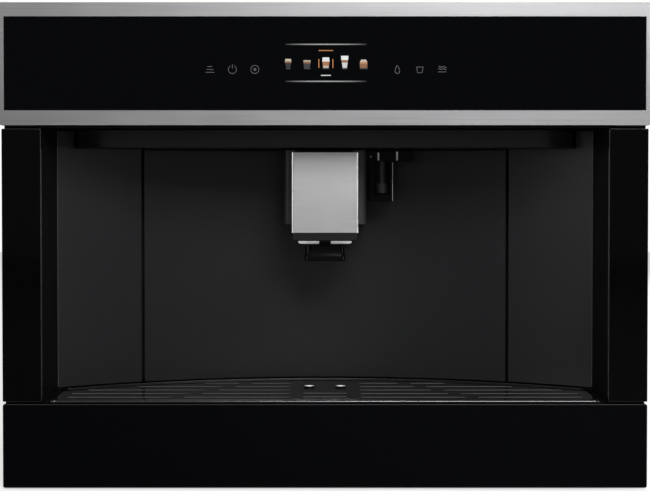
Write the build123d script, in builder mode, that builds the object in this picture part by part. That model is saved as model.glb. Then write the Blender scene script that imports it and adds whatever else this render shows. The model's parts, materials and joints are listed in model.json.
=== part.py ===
from build123d import *
import math
import os

# A built-in coffee machine. X runs to the right, the front faces -Y and +Z is up, in millimetres.
# The origin is below the middle of the machine, on the plane that its feet stand on.
# "Depth" always means the distance behind the front plane.

# ---------------------------------------------------------------- front, seen straight on
FRAME_WIDTH = 594.0  # steel frame of the control panel
FACE_INSET = 1.6  # glass columns and drawer fascia, inside the steel frame's ends
COLUMN_WIDTH = 35.8
DEPTH = 400.0  # front plane to the rim of the rear panel
FASCIA_LIFT = 1.0
FASCIA_HEIGHT = 77.0
FASCIA_THICKNESS = 5.0
FASCIA_GAP = 2.3  # fascia to columns
COLUMN_HEIGHT = 250.0
COLUMN_THICKNESS = 4.0
PANEL_GAP = 3.3  # columns to control panel
GAP_STRIP_DROP = 1.5  # strips behind these gaps: below the fascia's top
GAP_STRIP_LAP = 6.0  # and behind the columns' ends
PANEL_HEIGHT = 111.8
PANEL_DEPTH = 20.0
FRAME_BOTTOM_BAR = 13.4
FRAME_TOP_BAR = 12.8
FRAME_SIDE_BAR = 4.0
FRAME_SHEET = 1.2
GLASS_THICKNESS = 4.0
GLASS_SINK = 0.5  # control glass behind the face of its frame
GLASS_FIT = 0.3
EDGE_BREAK = 0.8  # ground edges of the glass pieces

# ---------------------------------------------------------------- cup niche
NICHE_RADIUS = 490.0  # concave back wall, seen from above
NICHE_DEPTH = 150.0  # at the middle
NICHE_WALL = 2.0
SKIN = 3.0  # curved wall panels
SEAM = 3.0  # between the door and the fixed wall panels
DOOR_WIDTH = 360.4
DOOR_RIB = 2.0  # width of its stiffening ribs
DOOR_EDGE = 10.0  # depth of the door's turned edge
DOOR_ABOVE_GRID = 2.3
CEILING_CLEARANCE = 1.4  # door top to ceiling block
CEILING_BLOCK_HEIGHT = 16.6
CEILING_ABOVE_COLUMNS = 0.7
CEILING_UNDER_PANEL = 0.4
CEILING_BLOCK_WIDTH = 488.0
CEILING_BLOCK_DEPTH = 57.0  # its front face
CEILING_BLOCK_CORNER = 40.0
FRAME_BEHIND_DOOR = 4.0  # door edge to the frame it closes on
FRAME_RING = 4.0

# ---------------------------------------------------------------- drip tray drawer
GRID_ABOVE_FASCIA = 1.9
GRID_SIDE_INSET = 7.6  # inside the niche, on each side
GRID_SHEET = 1.5
GRID_FRONT = 8.0  # depth at which the flat of the grid starts
GRID_BACK_CLEARANCE = 2.0  # inside the wall's arc
RIM_HEIGHT = 1.8
RIM_FRONT = 0.6
RIM_BACK = 11.0
SLOT_ROWS = 5
SLOT_FIRST_DEPTH = 26.4
SLOT_PITCH = 22.0
SLOT_WIDTH = 4.5
SLOT_SIDE_LIMIT = 241.0
SLOT_ARC_MARGIN = 20.0
DIAGONAL_RIB = 12.0  # solid strip between inner and outer slots
DIAGONAL_START = 138.0  # its x at the front row
DIAGONAL_SLOPE = 0.667  # drift towards the middle for each mm of depth
PAD_WIDTH = 64.0  # plate under the outlets
SLOT_TO_PAD = 2.0
PAD_DEPTH = 108.0
PAD_FRONT = 16.0
PAD_RAISE = 0.4
PAD_HOLE = 6.0
PAD_COLLAR = 10.4  # raised edge of each drain hole
PAD_COLLAR_RAISE = 1.4
PAD_COLLAR_TAPER = 30.0
PAD_SLOT = 41.0
BASIN_WALL = 2.5
BASIN_SIDE_INSET = 9.6  # inside the niche, on each side
BASIN_FRONT = 12.0
BASIN_BACK_CLEARANCE = 8.0
CARRIER_SIDE_INSET = 5.4  # inside the fascia's ends
CARRIER_MARGIN = 3.0
GROUNDS_WIDTH = 156.0
GROUNDS_DEPTH = 138.0
GROUNDS_HEIGHT = 58.0
GROUNDS_WALL = 2.0
GROUNDS_GAP = 4.0
TRAY_SIDE_GAP = 1.0

# ---------------------------------------------------------------- casing
SHEET = 1.0
CASE_INSET = 29.7  # casing inside the steel frame's ends
TOP_DROP = 5.4  # top panel below the control frame
FOOT_HEIGHT = 6.0
FOOT_RADIUS = 15.0
FOOT_FROM_SIDE = 42.3
FOOT_FRONT = 66.0
FOOT_REAR = 340.0
PAN_FRONT = 41.0
PAN_FLANGE = 14.0
CROSS_PLATE = 3.0
POST_FRONT = 14.0
POST_BACK = 40.0
REAR_SHEET = 1.2
REAR_RIM = 2.0
REAR_RIM_WIDTH = 6.0
GUIDE_LENGTH = 300.0
SLIDE_THICKNESS = 2.4  # the drawer's two floor guides
GUIDE_CLEARANCE = 0.3
LEDGE_HEIGHT = 4.0
DECK_SHEET = 1.2
LOWER_DECK_Z = 104.0
UPPER_DECK_UNDER_DOOR_TOP = 37.0
DECK_FRONT = 170.0
VENT_LENGTH = 60.0
VENT_WIDTH = 4.0
VENT_PITCH = 12.0

# ---------------------------------------------------------------- telescopic rails
RAIL_SPACE = 12.7  # casing to the cabinet's side, on each side
RAIL_Z = 150.0
RAIL_LENGTH = 350.0
RAIL_START = 36.0
RAIL_HEIGHT = 45.5
RAIL_GAUGE = 1.2
RAIL_LIP = 10.8  # flange reach of the cabinet rail
BALL = 4.0
BALL_PLAY = 0.05
MIDDLE_WEB_GAP = 1.6
CAGE_START = 110.0
CAGE_LENGTH = 200.0
CAGE_SHEET = 0.8
CAGE_WIDTH = 4.6
BALLS_PER_ROW = 3
RAIL_HOLE = 4.5
RAIL_HOLE_PITCH = 256.0

# ---------------------------------------------------------------- hinge of the service door
HINGE_INSET = 5.0
HINGE_BEHIND = 5.0
HINGE_PIN = 3.0
HINGE_EYE = 6.4
HINGE_PLAY = 0.05
HINGE_BRACKET = 8.0
HINGE_GAP = 0.5
HINGE_LUG = 9.0
HINGE_LEAF = 1.5  # flat of each bracket on the ring frame, clear of the door's edge as it turns
HINGE_FROM_END = 30.0

# ---------------------------------------------------------------- coffee spout
SPOUT_DEPTH = 60.0  # its steel face
COVER_WIDTH = 64.4
COVER_HEIGHT = 77.0
COVER_TOP_GAP = 3.0  # below the door's top
COVER_CORNER = 2.4
COVER_SHEET = 1.2
SPOUT_CHIN = 8.0  # black body below the cover
OUTLET_SPACING = 30.6
OUTLET_COLLAR = 18.2
OUTLET_LENGTH = 13.0
OUTLET_ROUND = 4.0
OUTLET_BORE = 8.0
COLLAR_HEIGHT = 3.5
OUTLET_DEPTH = 88.0
HEAD_WIDTH = 37.4
HEAD_LENGTH = 28.0
HEAD_HEIGHT = 16.5
HEAD_FLARE = 0.8
HEAD_CORNER = 7.0
HEAD_NECK = 11.4  # width of the neck between the two outlets
HEAD_BORE = 5.0
HEAD_BORE_SPACING = 27.0
GUIDE_WIDTH = 81.0
GUIDE_FRONT = 97.0
GUIDE_CORNER = 6.0
GUIDE_HEIGHT = 73.0
GUIDE_CHANNEL = 54.0
GUIDE_CHANNEL_BACK = 139.0
GUIDE_GROOVE = 4.0
GUIDE_GROOVE_WIDTH = 6.0
GUIDE_GROOVE_DEPTH = 112.0
SLIDE_PLAY = 0.3
CARRIAGE_DROP = 3.0

# ---------------------------------------------------------------- steam nozzle
NOZZLE_X = 57.2
NOZZLE_DEPTH = 122.0
NOZZLE_DIAMETER = 12.4
NOZZLE_LENGTH = 32.0
NOZZLE_STEM = 7.4
NOZZLE_TIP = 10.5  # length of its wider end
HOLDER_FRONT = 108.0
HOLDER_LEFT = 44.7
HOLDER_RIGHT = 67.1
HOLDER_HEIGHT = 40.0
HOLDER_SIDE = 3.0
HOLDER_FLOOR = 7.0
PLATE_LEFT = 40.8
PLATE_RIGHT = 86.5
PLATE_HEIGHT = 9.6

# ---------------------------------------------------------------- water tank
TANK_FROM_SIDE = 77.3  # its middle to the casing's left side
TANK_DEPTH = 272.0
TANK_WIDTH = 120.0
TANK_LENGTH = 145.0
TANK_HEIGHT = 190.0
TANK_WALL = 2.0
TANK_CORNER = 10.0
TANK_CLEARANCE = 4.0  # to the openings that it lifts through
TANK_TOP_DROP = 2.0  # rim below the top panel
TANK_LID = 3.0
LID_PAST_PIN = 0.5  # the lids end this far behind their pins, so that they clear the rims
STAND_RIM = 3.0

# ---------------------------------------------------------------- beans, grinder and knob
HOPPER_FROM_SIDE = 157.3  # its middle to the casing's right side
HOPPER_DEPTH = 240.0
HOPPER_WIDTH = 190.0
HOPPER_LENGTH = 180.0
HOPPER_WALL = 2.0
HOPPER_STRAIGHT = 26.0
HOPPER_NECK = 54.0  # rim down to the grinder
HOPPER_NECK_RADIUS = 30.0
HOPPER_LIP = 3.0
HOPPER_LIP_HEIGHT = 1.2
HOPPER_LID = 2.2
HOPPER_PIN = 2.0
GRINDER_FROM_HOPPER = 30.0  # its axis, left of the hopper's middle
GRINDER_DEPTH = 240.0
GRINDER_RADIUS = 36.0
GRINDER_BORE = 28.0
GRINDER_FLOOR = 12.0
MOTOR_RADIUS = 30.0
MOTOR_HEIGHT = 52.0
SHAFT_RADIUS = 4.0
SHAFT_PLAY = 0.05
CONE_BOTTOM_RADIUS = 24.0
CONE_TOP_RADIUS = 12.0
CONE_HEIGHT = 26.0
CONE_TEETH = 12
KNOB_FROM_SIDE = 31.3
KNOB_DEPTH = 240.0
KNOB_RADIUS = 12.0
KNOB_HEIGHT = 4.4
KNOB_SHAFT = 4.0

# ---------------------------------------------------------------- brew unit and water path
BREW_DEPTH = 228.0
BREW_WIDTH = 112.0
BREW_FRONT = 184.0
BREW_BACK = 300.0
BREW_PLATE = 6.0
BREW_HEIGHT = 160.0
BREW_ROD = 8.0
BREW_ROD_X = 40.0
CHAMBER_RADIUS = 29.0
CHAMBER_BORE = 22.0
CHAMBER_HEIGHT = 60.0
CHAMBER_LIFT = 36.0  # above the base plate in its rest place
CHAMBER_LUG = 8.0
PISTON_LENGTH = 36.0
PISTON_PLAY = 0.1
SCREW_BEHIND_BREW = 50.0  # lead screw behind the brew chamber
SCREW_RADIUS = 4.0
NUT_RADIUS = 10.0
GEARBOX_HEIGHT = 18.0
BREW_MOTOR_RADIUS = 14.0
BREW_MOTOR_LENGTH = 52.0
BOILER_FROM_SIDE = 77.3
BOILER_DEPTH = 275.0
BOILER_WIDTH = 96.0
BOILER_LENGTH = 120.0
BOILER_HEIGHT = 46.0
BOILER_LIFT = 10.0
PUMP_FROM_SIDE = 77.3
PUMP_RADIUS = 24.0
SADDLE_BITE = 1.0  # how far the saddles reach into the pump's sleeve
PUMP_LENGTH = 110.0
PUMP_FRONT = 215.0
PUMP_Z = 44.0
PORT_RADIUS = 3.0
PORT_LENGTH = 10.0
HOSE_RADIUS = 3.5
HOSE_LEAD = 40.0  # straight run out of the tank's port
HOSE_SWEEP = 74.0  # and how far out its first bend reaches
HOSE_SAG = 42.0
HOSE_DIP = 18.0
HOSE_CROSSING_X = 20.0  # where it crosses the middle
HOSE_SHIFT = 12.0
HOSE_RISE = 66.0  # above the lower deck
HOSE_STEP = 26.0
HOSE_SIDE = 24.0
HOSE_LIFT = 14.0
HOSE_CREST = 2.0
BREW_LEAD = 36.0  # run out of the boiler's side port
BREW_ARCH_OUT = 38.0
BREW_ARCH_BACK = 16.0
BREW_END = 22.0
RISER_DEPTH = 183.0  # where the pressure hose passes the lower deck
DOWNPIPE_X = 104.0  # where the suction hose passes the lower deck
DOWNPIPE_DEPTH = 366.0

# ---------------------------------------------------------------- electrics
INLET_FROM_SIDE = 62.3
BLADE_SPACING = 7.0
BLADE_WIDTH = 2.0
BLADE_HEIGHT = 4.0
EARTH_RAISE = 3.0
INLET_Z = 52.0
INLET_WIDTH = 28.0
INLET_HEIGHT = 62.0
INLET_FLANGE = 4.0
INLET_BODY = 34.0
SOCKET_HEIGHT = 20.0
SOCKET_WIDTH = 24.4
SOCKET_DEPTH = 16.0
ROCKER_WIDTH = 14.0
ROCKER_HEIGHT = 18.4
ROCKER_FACE = 4.0  # pivot to the face
ROCKER_BACK = 3.0
ROCKER_SINK = 6.0  # pivot behind the flange
ROCKER_PIN = 2.4
ROCKER_TILT = 10.0
ROCKER_FIT = 0.4
BOARD_WIDTH = 240.0
BOARD_HEIGHT = 70.0
BOARD_SHEET = 1.6
BOARD_STANDOFF = 6.0
DISPLAY_WIDTH = 110.0
DISPLAY_HEIGHT = 60.0
DISPLAY_DEPTH = 5.0
LAMP_X = 95.0
LAMP_DEPTH = 85.0
LAMP_RADIUS = 9.0
LAMP_HEIGHT = 3.0
SCREW_HEAD_RADIUS = 3.5
SCREW_HEAD_HEIGHT = 1.6

# ---------------------------------------------------------------- worked out from the sizes above
FRONT_Y = -DEPTH / 2
FASCIA_TOP = FASCIA_LIFT + FASCIA_HEIGHT
COLUMN_BOTTOM = FASCIA_TOP + FASCIA_GAP
COLUMN_TOP = COLUMN_BOTTOM + COLUMN_HEIGHT
PANEL_BOTTOM = COLUMN_TOP + PANEL_GAP
PANEL_TOP = PANEL_BOTTOM + PANEL_HEIGHT
FACE_HALF = FRAME_WIDTH / 2 - FACE_INSET
NICHE_HALF = FACE_HALF - COLUMN_WIDTH
GRID_WIDTH = 2 * (NICHE_HALF - GRID_SIDE_INSET)
BASIN_WIDTH = 2 * (NICHE_HALF - BASIN_SIDE_INSET)
CARRIER_WIDTH = 2 * (FACE_HALF - CARRIER_SIDE_INSET)
GRID_TOP = FASCIA_TOP + GRID_ABOVE_FASCIA
GRID_BOTTOM = GRID_TOP - GRID_SHEET
DOOR_BOTTOM = GRID_TOP + DOOR_ABOVE_GRID
DOOR_HALF = DOOR_WIDTH / 2
CEILING_Z = COLUMN_TOP + CEILING_ABOVE_COLUMNS
CEILING_PLATE = PANEL_BOTTOM - CEILING_Z - CEILING_UNDER_PANEL
CEILING_BOTTOM = CEILING_Z - CEILING_BLOCK_HEIGHT
DOOR_TOP = CEILING_BOTTOM - CEILING_CLEARANCE
DOOR_HEIGHT = DOOR_TOP - DOOR_BOTTOM
UPPER_DECK_Z = DOOR_TOP - UPPER_DECK_UNDER_DOOR_TOP
CASE_HALF = FRAME_WIDTH / 2 - CASE_INSET
CASE_INNER = CASE_HALF - SHEET
TANK_X = TANK_FROM_SIDE - CASE_HALF
INLET_X = INLET_FROM_SIDE - CASE_HALF
HOPPER_X = CASE_HALF - HOPPER_FROM_SIDE
GRINDER_X = HOPPER_X - GRINDER_FROM_HOPPER
KNOB_X = CASE_HALF - KNOB_FROM_SIDE
SCREW_DEPTH = BREW_DEPTH + SCREW_BEHIND_BREW
BOILER_X = CASE_HALF - BOILER_FROM_SIDE
PUMP_X = CASE_HALF - PUMP_FROM_SIDE
FOOT_X = CASE_HALF - FOOT_FROM_SIDE
CASE_TOP = PANEL_TOP - TOP_DROP
CASE_FRONT = PANEL_DEPTH + CROSS_PLATE
REAR_OUTER = DEPTH - REAR_RIM
REAR_INNER = REAR_OUTER - REAR_SHEET
PAN_TOP = FOOT_HEIGHT + SHEET
GUIDE_TOP = PAN_TOP + SLIDE_THICKNESS
BASIN_BOTTOM = GUIDE_TOP + GUIDE_CLEARANCE
DOOR_BACK_RADIUS = NICHE_RADIUS + DOOR_EDGE
RING_RADIUS = DOOR_BACK_RADIUS + FRAME_BEHIND_DOOR
ARC_CENTRE = (0, FRONT_Y + NICHE_DEPTH - NICHE_RADIUS)


def y_at(depth):
    """Y of the plane that lies this far behind the front."""
    return FRONT_Y + depth


def facing(depth):
    """Plane that looks out to the user, this far behind the front. Its own y is the height."""
    return Plane(origin=(0, y_at(depth), 0), x_dir=(1, 0, 0), z_dir=(0, -1, 0))


def sideways(x):
    """Plane that looks to the right at this x. Its own x is world Y and its own y is the height."""
    return Plane(origin=(x, 0, 0), x_dir=(0, 1, 0), z_dir=(1, 0, 0))


def span(low_u, high_u, low_v, high_v, mode=Mode.ADD):
    """Rectangle between two pairs of limits of the sketch in hand."""
    with Locations(((low_u + high_u) / 2, (low_v + high_v) / 2)):
        Rectangle(high_u - low_u, high_v - low_v, mode=mode)


def rounded_span(low_u, high_u, low_v, high_v, radius, mode=Mode.ADD):
    """Rectangle with round corners between two pairs of limits of the sketch in hand."""
    with Locations(((low_u + high_u) / 2, (low_v + high_v) / 2)):
        RectangleRounded(high_u - low_u, high_v - low_v, radius, mode=mode)


def arc_depth(x, radius=NICHE_RADIUS):
    """Depth of a cylinder round the niche's upright axis, at one x."""
    return NICHE_DEPTH - NICHE_RADIUS + math.sqrt(radius**2 - x**2)


def arc_strip(inner, outer, x_from, x_to, mode=Mode.ADD):
    """Strip of the plan between two radii of the niche and two stations along X."""
    with BuildSketch(mode=Mode.PRIVATE) as strip:
        with Locations(ARC_CENTRE):
            Circle(outer)
            Circle(inner, mode=Mode.SUBTRACT)
        middle = y_at(NICHE_DEPTH)
        span(x_from, x_to, middle - NICHE_DEPTH, middle + NICHE_DEPTH, mode=Mode.INTERSECT)
    add(strip.sketch, mode=mode)


# ================================================================ telescopic rails
# Three nested channels on each side. The right side is drawn and the left one mirrored.
cabinet_inner = RAIL_HEIGHT / 2 - RAIL_GAUGE
middle_outer = cabinet_inner - BALL - 2 * BALL_PLAY
middle_inner = middle_outer - RAIL_GAUGE
machine_outer = middle_inner - BALL - 2 * BALL_PLAY
cabinet_face = CASE_HALF + RAIL_SPACE
lip_x = cabinet_face - RAIL_LIP
middle_web = cabinet_face - RAIL_GAUGE - MIDDLE_WEB_GAP
machine_lip = middle_web - RAIL_GAUGE - MIDDLE_WEB_GAP
rail_middle = RAIL_START + RAIL_LENGTH / 2

with BuildPart() as cabinet_rail_right:
    with BuildSketch(facing(RAIL_START)):
        span(lip_x, cabinet_face, RAIL_Z - RAIL_HEIGHT / 2, RAIL_Z + RAIL_HEIGHT / 2)
        span(
            lip_x,
            cabinet_face - RAIL_GAUGE,
            RAIL_Z - cabinet_inner,
            RAIL_Z + cabinet_inner,
            mode=Mode.SUBTRACT,
        )
    extrude(amount=-RAIL_LENGTH)
    with BuildSketch(sideways(cabinet_face)):
        with Locations((y_at(rail_middle), RAIL_Z)):
            with GridLocations(RAIL_HOLE_PITCH, 0, 2, 1):
                Circle(RAIL_HOLE / 2)
    extrude(amount=-RAIL_GAUGE, mode=Mode.SUBTRACT)

with BuildPart() as cabinet_rail_left:
    mirror(cabinet_rail_right.part, about=Plane.YZ)

with BuildPart() as middle_rail_right:
    with BuildSketch(facing(RAIL_START)):
        span(lip_x, middle_web, RAIL_Z - middle_outer, RAIL_Z + middle_outer)
        span(
            lip_x,
            middle_web - RAIL_GAUGE,
            RAIL_Z - middle_inner,
            RAIL_Z + middle_inner,
            mode=Mode.SUBTRACT,
        )
    extrude(amount=-RAIL_LENGTH)

with BuildPart() as middle_rail_left:
    mirror(middle_rail_right.part, about=Plane.YZ)

with BuildPart() as machine_rail_right:
    with BuildSketch(facing(RAIL_START)):
        span(CASE_HALF, machine_lip, RAIL_Z - machine_outer, RAIL_Z + machine_outer)
        span(
            CASE_HALF + RAIL_GAUGE,
            machine_lip,
            RAIL_Z - machine_outer + RAIL_GAUGE,
            RAIL_Z + machine_outer - RAIL_GAUGE,
            mode=Mode.SUBTRACT,
        )
    extrude(amount=-RAIL_LENGTH)

with BuildPart() as machine_rail_left:
    mirror(machine_rail_right.part, about=Plane.YZ)

# Each ball cage is a thin strip in the race, with its balls held through it.
ball_x = (lip_x + machine_lip) / 2
ball_step = CAGE_LENGTH / BALLS_PER_ROW


def cage_set(race_height):
    """The four cages of one stage, whose races lie this far above and below the rail's middle."""
    with BuildPart() as cages:
        for race in (RAIL_Z + race_height, RAIL_Z - race_height):
            with BuildSketch(Plane.XY.offset(race - CAGE_SHEET / 2)):
                span(
                    ball_x - CAGE_WIDTH / 2,
                    ball_x + CAGE_WIDTH / 2,
                    y_at(CAGE_START),
                    y_at(CAGE_START + CAGE_LENGTH),
                )
            extrude(amount=CAGE_SHEET)
            with Locations((ball_x, y_at(CAGE_START + CAGE_LENGTH / 2), race)):
                with GridLocations(0, ball_step, 1, BALLS_PER_ROW):
                    Sphere(BALL / 2)
        mirror(about=Plane.YZ)
    return cages.part


with BuildPart() as outer_ball_cages:
    add(cage_set((cabinet_inner + middle_outer) / 2))

with BuildPart() as inner_ball_cages:
    add(cage_set((middle_inner + machine_outer) / 2))

# ================================================================ casing
with BuildPart() as base_pan:
    with BuildSketch(Plane.XY.offset(FOOT_HEIGHT)):
        span(-CASE_INNER, CASE_INNER, y_at(PAN_FRONT), y_at(REAR_INNER))
    extrude(amount=PAN_FLANGE)
    with BuildSketch(Plane.XY.offset(PAN_TOP)):
        span(
            SHEET - CASE_INNER,
            CASE_INNER - SHEET,
            y_at(PAN_FRONT),
            y_at(REAR_INNER - SHEET),
        )
    extrude(amount=PAN_FLANGE, mode=Mode.SUBTRACT)
    with BuildSketch(Plane.XY.offset(FOOT_HEIGHT)):
        with Locations((PUMP_X, y_at(PUMP_FRONT + PUMP_LENGTH / 2))):
            with GridLocations(0, VENT_PITCH, 1, 5):
                SlotOverall(VENT_LENGTH, VENT_WIDTH)
    extrude(amount=SHEET, mode=Mode.SUBTRACT)

with BuildPart() as base_feet:
    with BuildSketch():
        with Locations((0, y_at((FOOT_FRONT + FOOT_REAR) / 2))):
            with GridLocations(2 * FOOT_X, FOOT_REAR - FOOT_FRONT, 2, 2):
                Circle(FOOT_RADIUS)
    extrude(amount=FOOT_HEIGHT)
    chamfer(base_feet.edges().group_by(Axis.Z)[0], EDGE_BREAK)

with BuildPart() as side_panel_right:
    with BuildSketch(sideways(CASE_INNER)):
        span(y_at(CASE_FRONT), y_at(REAR_INNER), FOOT_HEIGHT, CASE_TOP - SHEET)
        with Locations((y_at(REAR_INNER - VENT_LENGTH), CASE_TOP - VENT_LENGTH)):
            with GridLocations(0, VENT_PITCH, 1, 5):
                SlotOverall(VENT_LENGTH, VENT_WIDTH, mode=Mode.SUBTRACT)
    extrude(amount=SHEET)

with BuildPart() as side_panel_left:
    mirror(side_panel_right.part, about=Plane.YZ)

with BuildPart() as rear_panel:
    with BuildSketch(facing(REAR_INNER)):
        span(-CASE_HALF, CASE_HALF, FOOT_HEIGHT, CASE_TOP)
    extrude(amount=-(REAR_SHEET + REAR_RIM))
    with BuildSketch(facing(DEPTH)):
        rounded_span(
            REAR_RIM_WIDTH - CASE_HALF,
            CASE_HALF - REAR_RIM_WIDTH,
            FOOT_HEIGHT + REAR_RIM_WIDTH,
            CASE_TOP - REAR_RIM_WIDTH,
            REAR_RIM_WIDTH,
        )
    extrude(amount=REAR_RIM, mode=Mode.SUBTRACT)
    with BuildSketch(facing(REAR_INNER)):
        span(
            INLET_X - INLET_WIDTH / 2,
            INLET_X + INLET_WIDTH / 2,
            INLET_Z - INLET_HEIGHT / 2,
            INLET_Z + INLET_HEIGHT / 2,
        )
        with Locations((BOILER_X, LOWER_DECK_Z + BOILER_HEIGHT), (BOILER_X, CASE_TOP - VENT_LENGTH)):
            with GridLocations(0, VENT_PITCH, 1, 6):
                SlotOverall(VENT_LENGTH, VENT_WIDTH)
    extrude(amount=-REAR_SHEET, mode=Mode.SUBTRACT)

tank_opening_x = TANK_WIDTH / 2 + TANK_CLEARANCE
tank_opening_y = TANK_LENGTH / 2 + TANK_CLEARANCE

with BuildPart() as top_panel:
    with BuildSketch(Plane.XY.offset(CASE_TOP - SHEET)):
        span(-CASE_HALF, CASE_HALF, y_at(CASE_FRONT), y_at(REAR_INNER))
        with Locations((TANK_X, y_at(TANK_DEPTH))):
            RectangleRounded(
                2 * tank_opening_x,
                2 * tank_opening_y,
                TANK_CORNER + TANK_CLEARANCE,
                mode=Mode.SUBTRACT,
            )
        with Locations((HOPPER_X, y_at(HOPPER_DEPTH))):
            RectangleRounded(
                HOPPER_WIDTH + 2 * GLASS_FIT,
                HOPPER_LENGTH + 2 * GLASS_FIT,
                TANK_CORNER + GLASS_FIT,
                mode=Mode.SUBTRACT,
            )
        with Locations((KNOB_X, y_at(KNOB_DEPTH))):
            Circle(KNOB_SHAFT + SHAFT_PLAY, mode=Mode.SUBTRACT)
    extrude(amount=SHEET)

with BuildPart() as front_frame:
    # carrier plates behind the two glass columns
    with BuildSketch(facing(COLUMN_THICKNESS)):
        for side in (-1, 1):
            span(
                side * NICHE_HALF,
                side * (FACE_HALF - SHEET),
                COLUMN_BOTTOM + SHEET,
                COLUMN_TOP,
            )
    extrude(amount=-COLUMN_THICKNESS)
    # strips behind the gaps above and below the columns, so that no light shows through
    with BuildSketch(facing(2 * COLUMN_THICKNESS)):
        for side in (-1, 1):
            for low, high in (
                (FASCIA_TOP - GAP_STRIP_DROP, COLUMN_BOTTOM + GAP_STRIP_LAP),
                (COLUMN_TOP - GAP_STRIP_LAP, CEILING_Z + CEILING_PLATE),
            ):
                span(side * NICHE_HALF, side * (FACE_HALF - SHEET), low, high)
    extrude(amount=-SHEET)
    # niche side walls with the ceiling over them, as one arch
    with BuildSketch(facing(COLUMN_THICKNESS)):
        outer = NICHE_HALF + NICHE_WALL
        span(-outer, outer, COLUMN_BOTTOM, CEILING_Z + CEILING_PLATE)
        span(-NICHE_HALF, NICHE_HALF, COLUMN_BOTTOM, CEILING_Z, mode=Mode.SUBTRACT)
    extrude(amount=-(arc_depth(NICHE_HALF, RING_RADIUS + FRAME_RING) - COLUMN_THICKNESS))
    with BuildSketch(facing(COLUMN_THICKNESS)):
        span(-NICHE_HALF, NICHE_HALF, CEILING_Z, CEILING_Z + CEILING_PLATE)
    extrude(amount=-(DECK_FRONT - COLUMN_THICKNESS))
    # cross plate behind the control panel, with two service windows
    with BuildSketch(facing(PANEL_DEPTH)):
        span(SHEET - FACE_HALF, FACE_HALF - SHEET, CEILING_Z + CEILING_PLATE, CASE_TOP)
        for side in (-1, 1):
            with Locations((side * (BOARD_WIDTH / 2 + NICHE_HALF) / 2, (PANEL_BOTTOM + PANEL_TOP) / 2)):
                RectangleRounded(BOARD_HEIGHT, BOARD_HEIGHT, FRAME_TOP_BAR / 2, mode=Mode.SUBTRACT)
    extrude(amount=-CROSS_PLATE)
    # two ribs that the control glass is bonded to
    glass_back = GLASS_SINK + GLASS_THICKNESS
    rib = FRAME_SIDE_BAR
    rib_half = FRAME_WIDTH / 2 - 2 * FRAME_SIDE_BAR
    with BuildSketch(facing(glass_back)):
        for rib_z in (PANEL_BOTTOM + FRAME_BOTTOM_BAR + rib, PANEL_TOP - FRAME_TOP_BAR - rib):
            span(-rib_half, rib_half, rib_z - rib / 2, rib_z + rib / 2)
    extrude(amount=-(PANEL_DEPTH - glass_back))
    # corner posts down to the base, and the ledges and guides that the drawer runs along
    with BuildSketch(facing(POST_FRONT)):
        for side in (-1, 1):
            span(side * (NICHE_HALF + NICHE_WALL), side * CASE_INNER, FOOT_HEIGHT, COLUMN_TOP)
    extrude(amount=-(POST_BACK - POST_FRONT))
    with BuildSketch(facing(COLUMN_THICKNESS * 2)):
        for side in (-1, 1):
            span(
                side * (GRID_WIDTH / 2 + TRAY_SIDE_GAP),
                side * (NICHE_HALF + NICHE_WALL),
                GRID_TOP - LEDGE_HEIGHT,
                COLUMN_BOTTOM,
            )
    extrude(amount=-(arc_depth(NICHE_HALF) - 2 * COLUMN_THICKNESS))
    with BuildSketch(facing(PAN_FRONT)):
        for side in (-1, 1):
            span(
                side * (BASIN_WIDTH / 2 - VENT_PITCH),
                side * (NICHE_HALF + NICHE_WALL),
                PAN_TOP,
                GUIDE_TOP,
            )
    extrude(amount=-GUIDE_LENGTH)
    with BuildSketch(facing(POST_FRONT)):
        for side in (-1, 1):
            span(
                side * (BASIN_WIDTH / 2 - VENT_PITCH),
                side * CASE_INNER,
                FOOT_HEIGHT,
                GUIDE_TOP,
            )
    extrude(amount=-(PAN_FRONT - POST_FRONT))

with BuildPart() as lower_deck:
    with BuildSketch(Plane.XY.offset(LOWER_DECK_Z)):
        span(-CASE_INNER, CASE_INNER, y_at(DECK_FRONT), y_at(REAR_INNER))
        span(
            HOSE_RADIUS - BREW_ROD_X,
            BREW_ROD_X - HOSE_RADIUS,
            y_at(BREW_FRONT + BREW_PLATE),
            y_at(BREW_DEPTH + CHAMBER_BORE),
            mode=Mode.SUBTRACT,
        )
        with Locations(
            (BOILER_X, y_at(RISER_DEPTH)),
            (DOWNPIPE_X, y_at(DOWNPIPE_DEPTH)),
        ):
            Circle(2 * HOSE_RADIUS, mode=Mode.SUBTRACT)
    extrude(amount=DECK_SHEET)
    with BuildSketch(Plane.XY.offset(LOWER_DECK_Z - VENT_PITCH)):
        span(-CASE_INNER, CASE_INNER, y_at(DECK_FRONT), y_at(DECK_FRONT + DECK_SHEET))
    extrude(amount=VENT_PITCH)

with BuildPart() as upper_deck:
    with BuildSketch(Plane.XY.offset(UPPER_DECK_Z)):
        span(-CASE_INNER, CASE_INNER, y_at(DECK_FRONT), y_at(REAR_INNER))
        with Locations((TANK_X, y_at(TANK_DEPTH))):
            RectangleRounded(
                2 * tank_opening_x,
                2 * tank_opening_y,
                TANK_CORNER + TANK_CLEARANCE,
                mode=Mode.SUBTRACT,
            )
    extrude(amount=DECK_SHEET)
    with BuildSketch(Plane.XY.offset(UPPER_DECK_Z + DECK_SHEET)):
        span(-CASE_INNER, CASE_INNER, y_at(DECK_FRONT), y_at(DECK_FRONT + DECK_SHEET))
    extrude(amount=VENT_PITCH)

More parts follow.
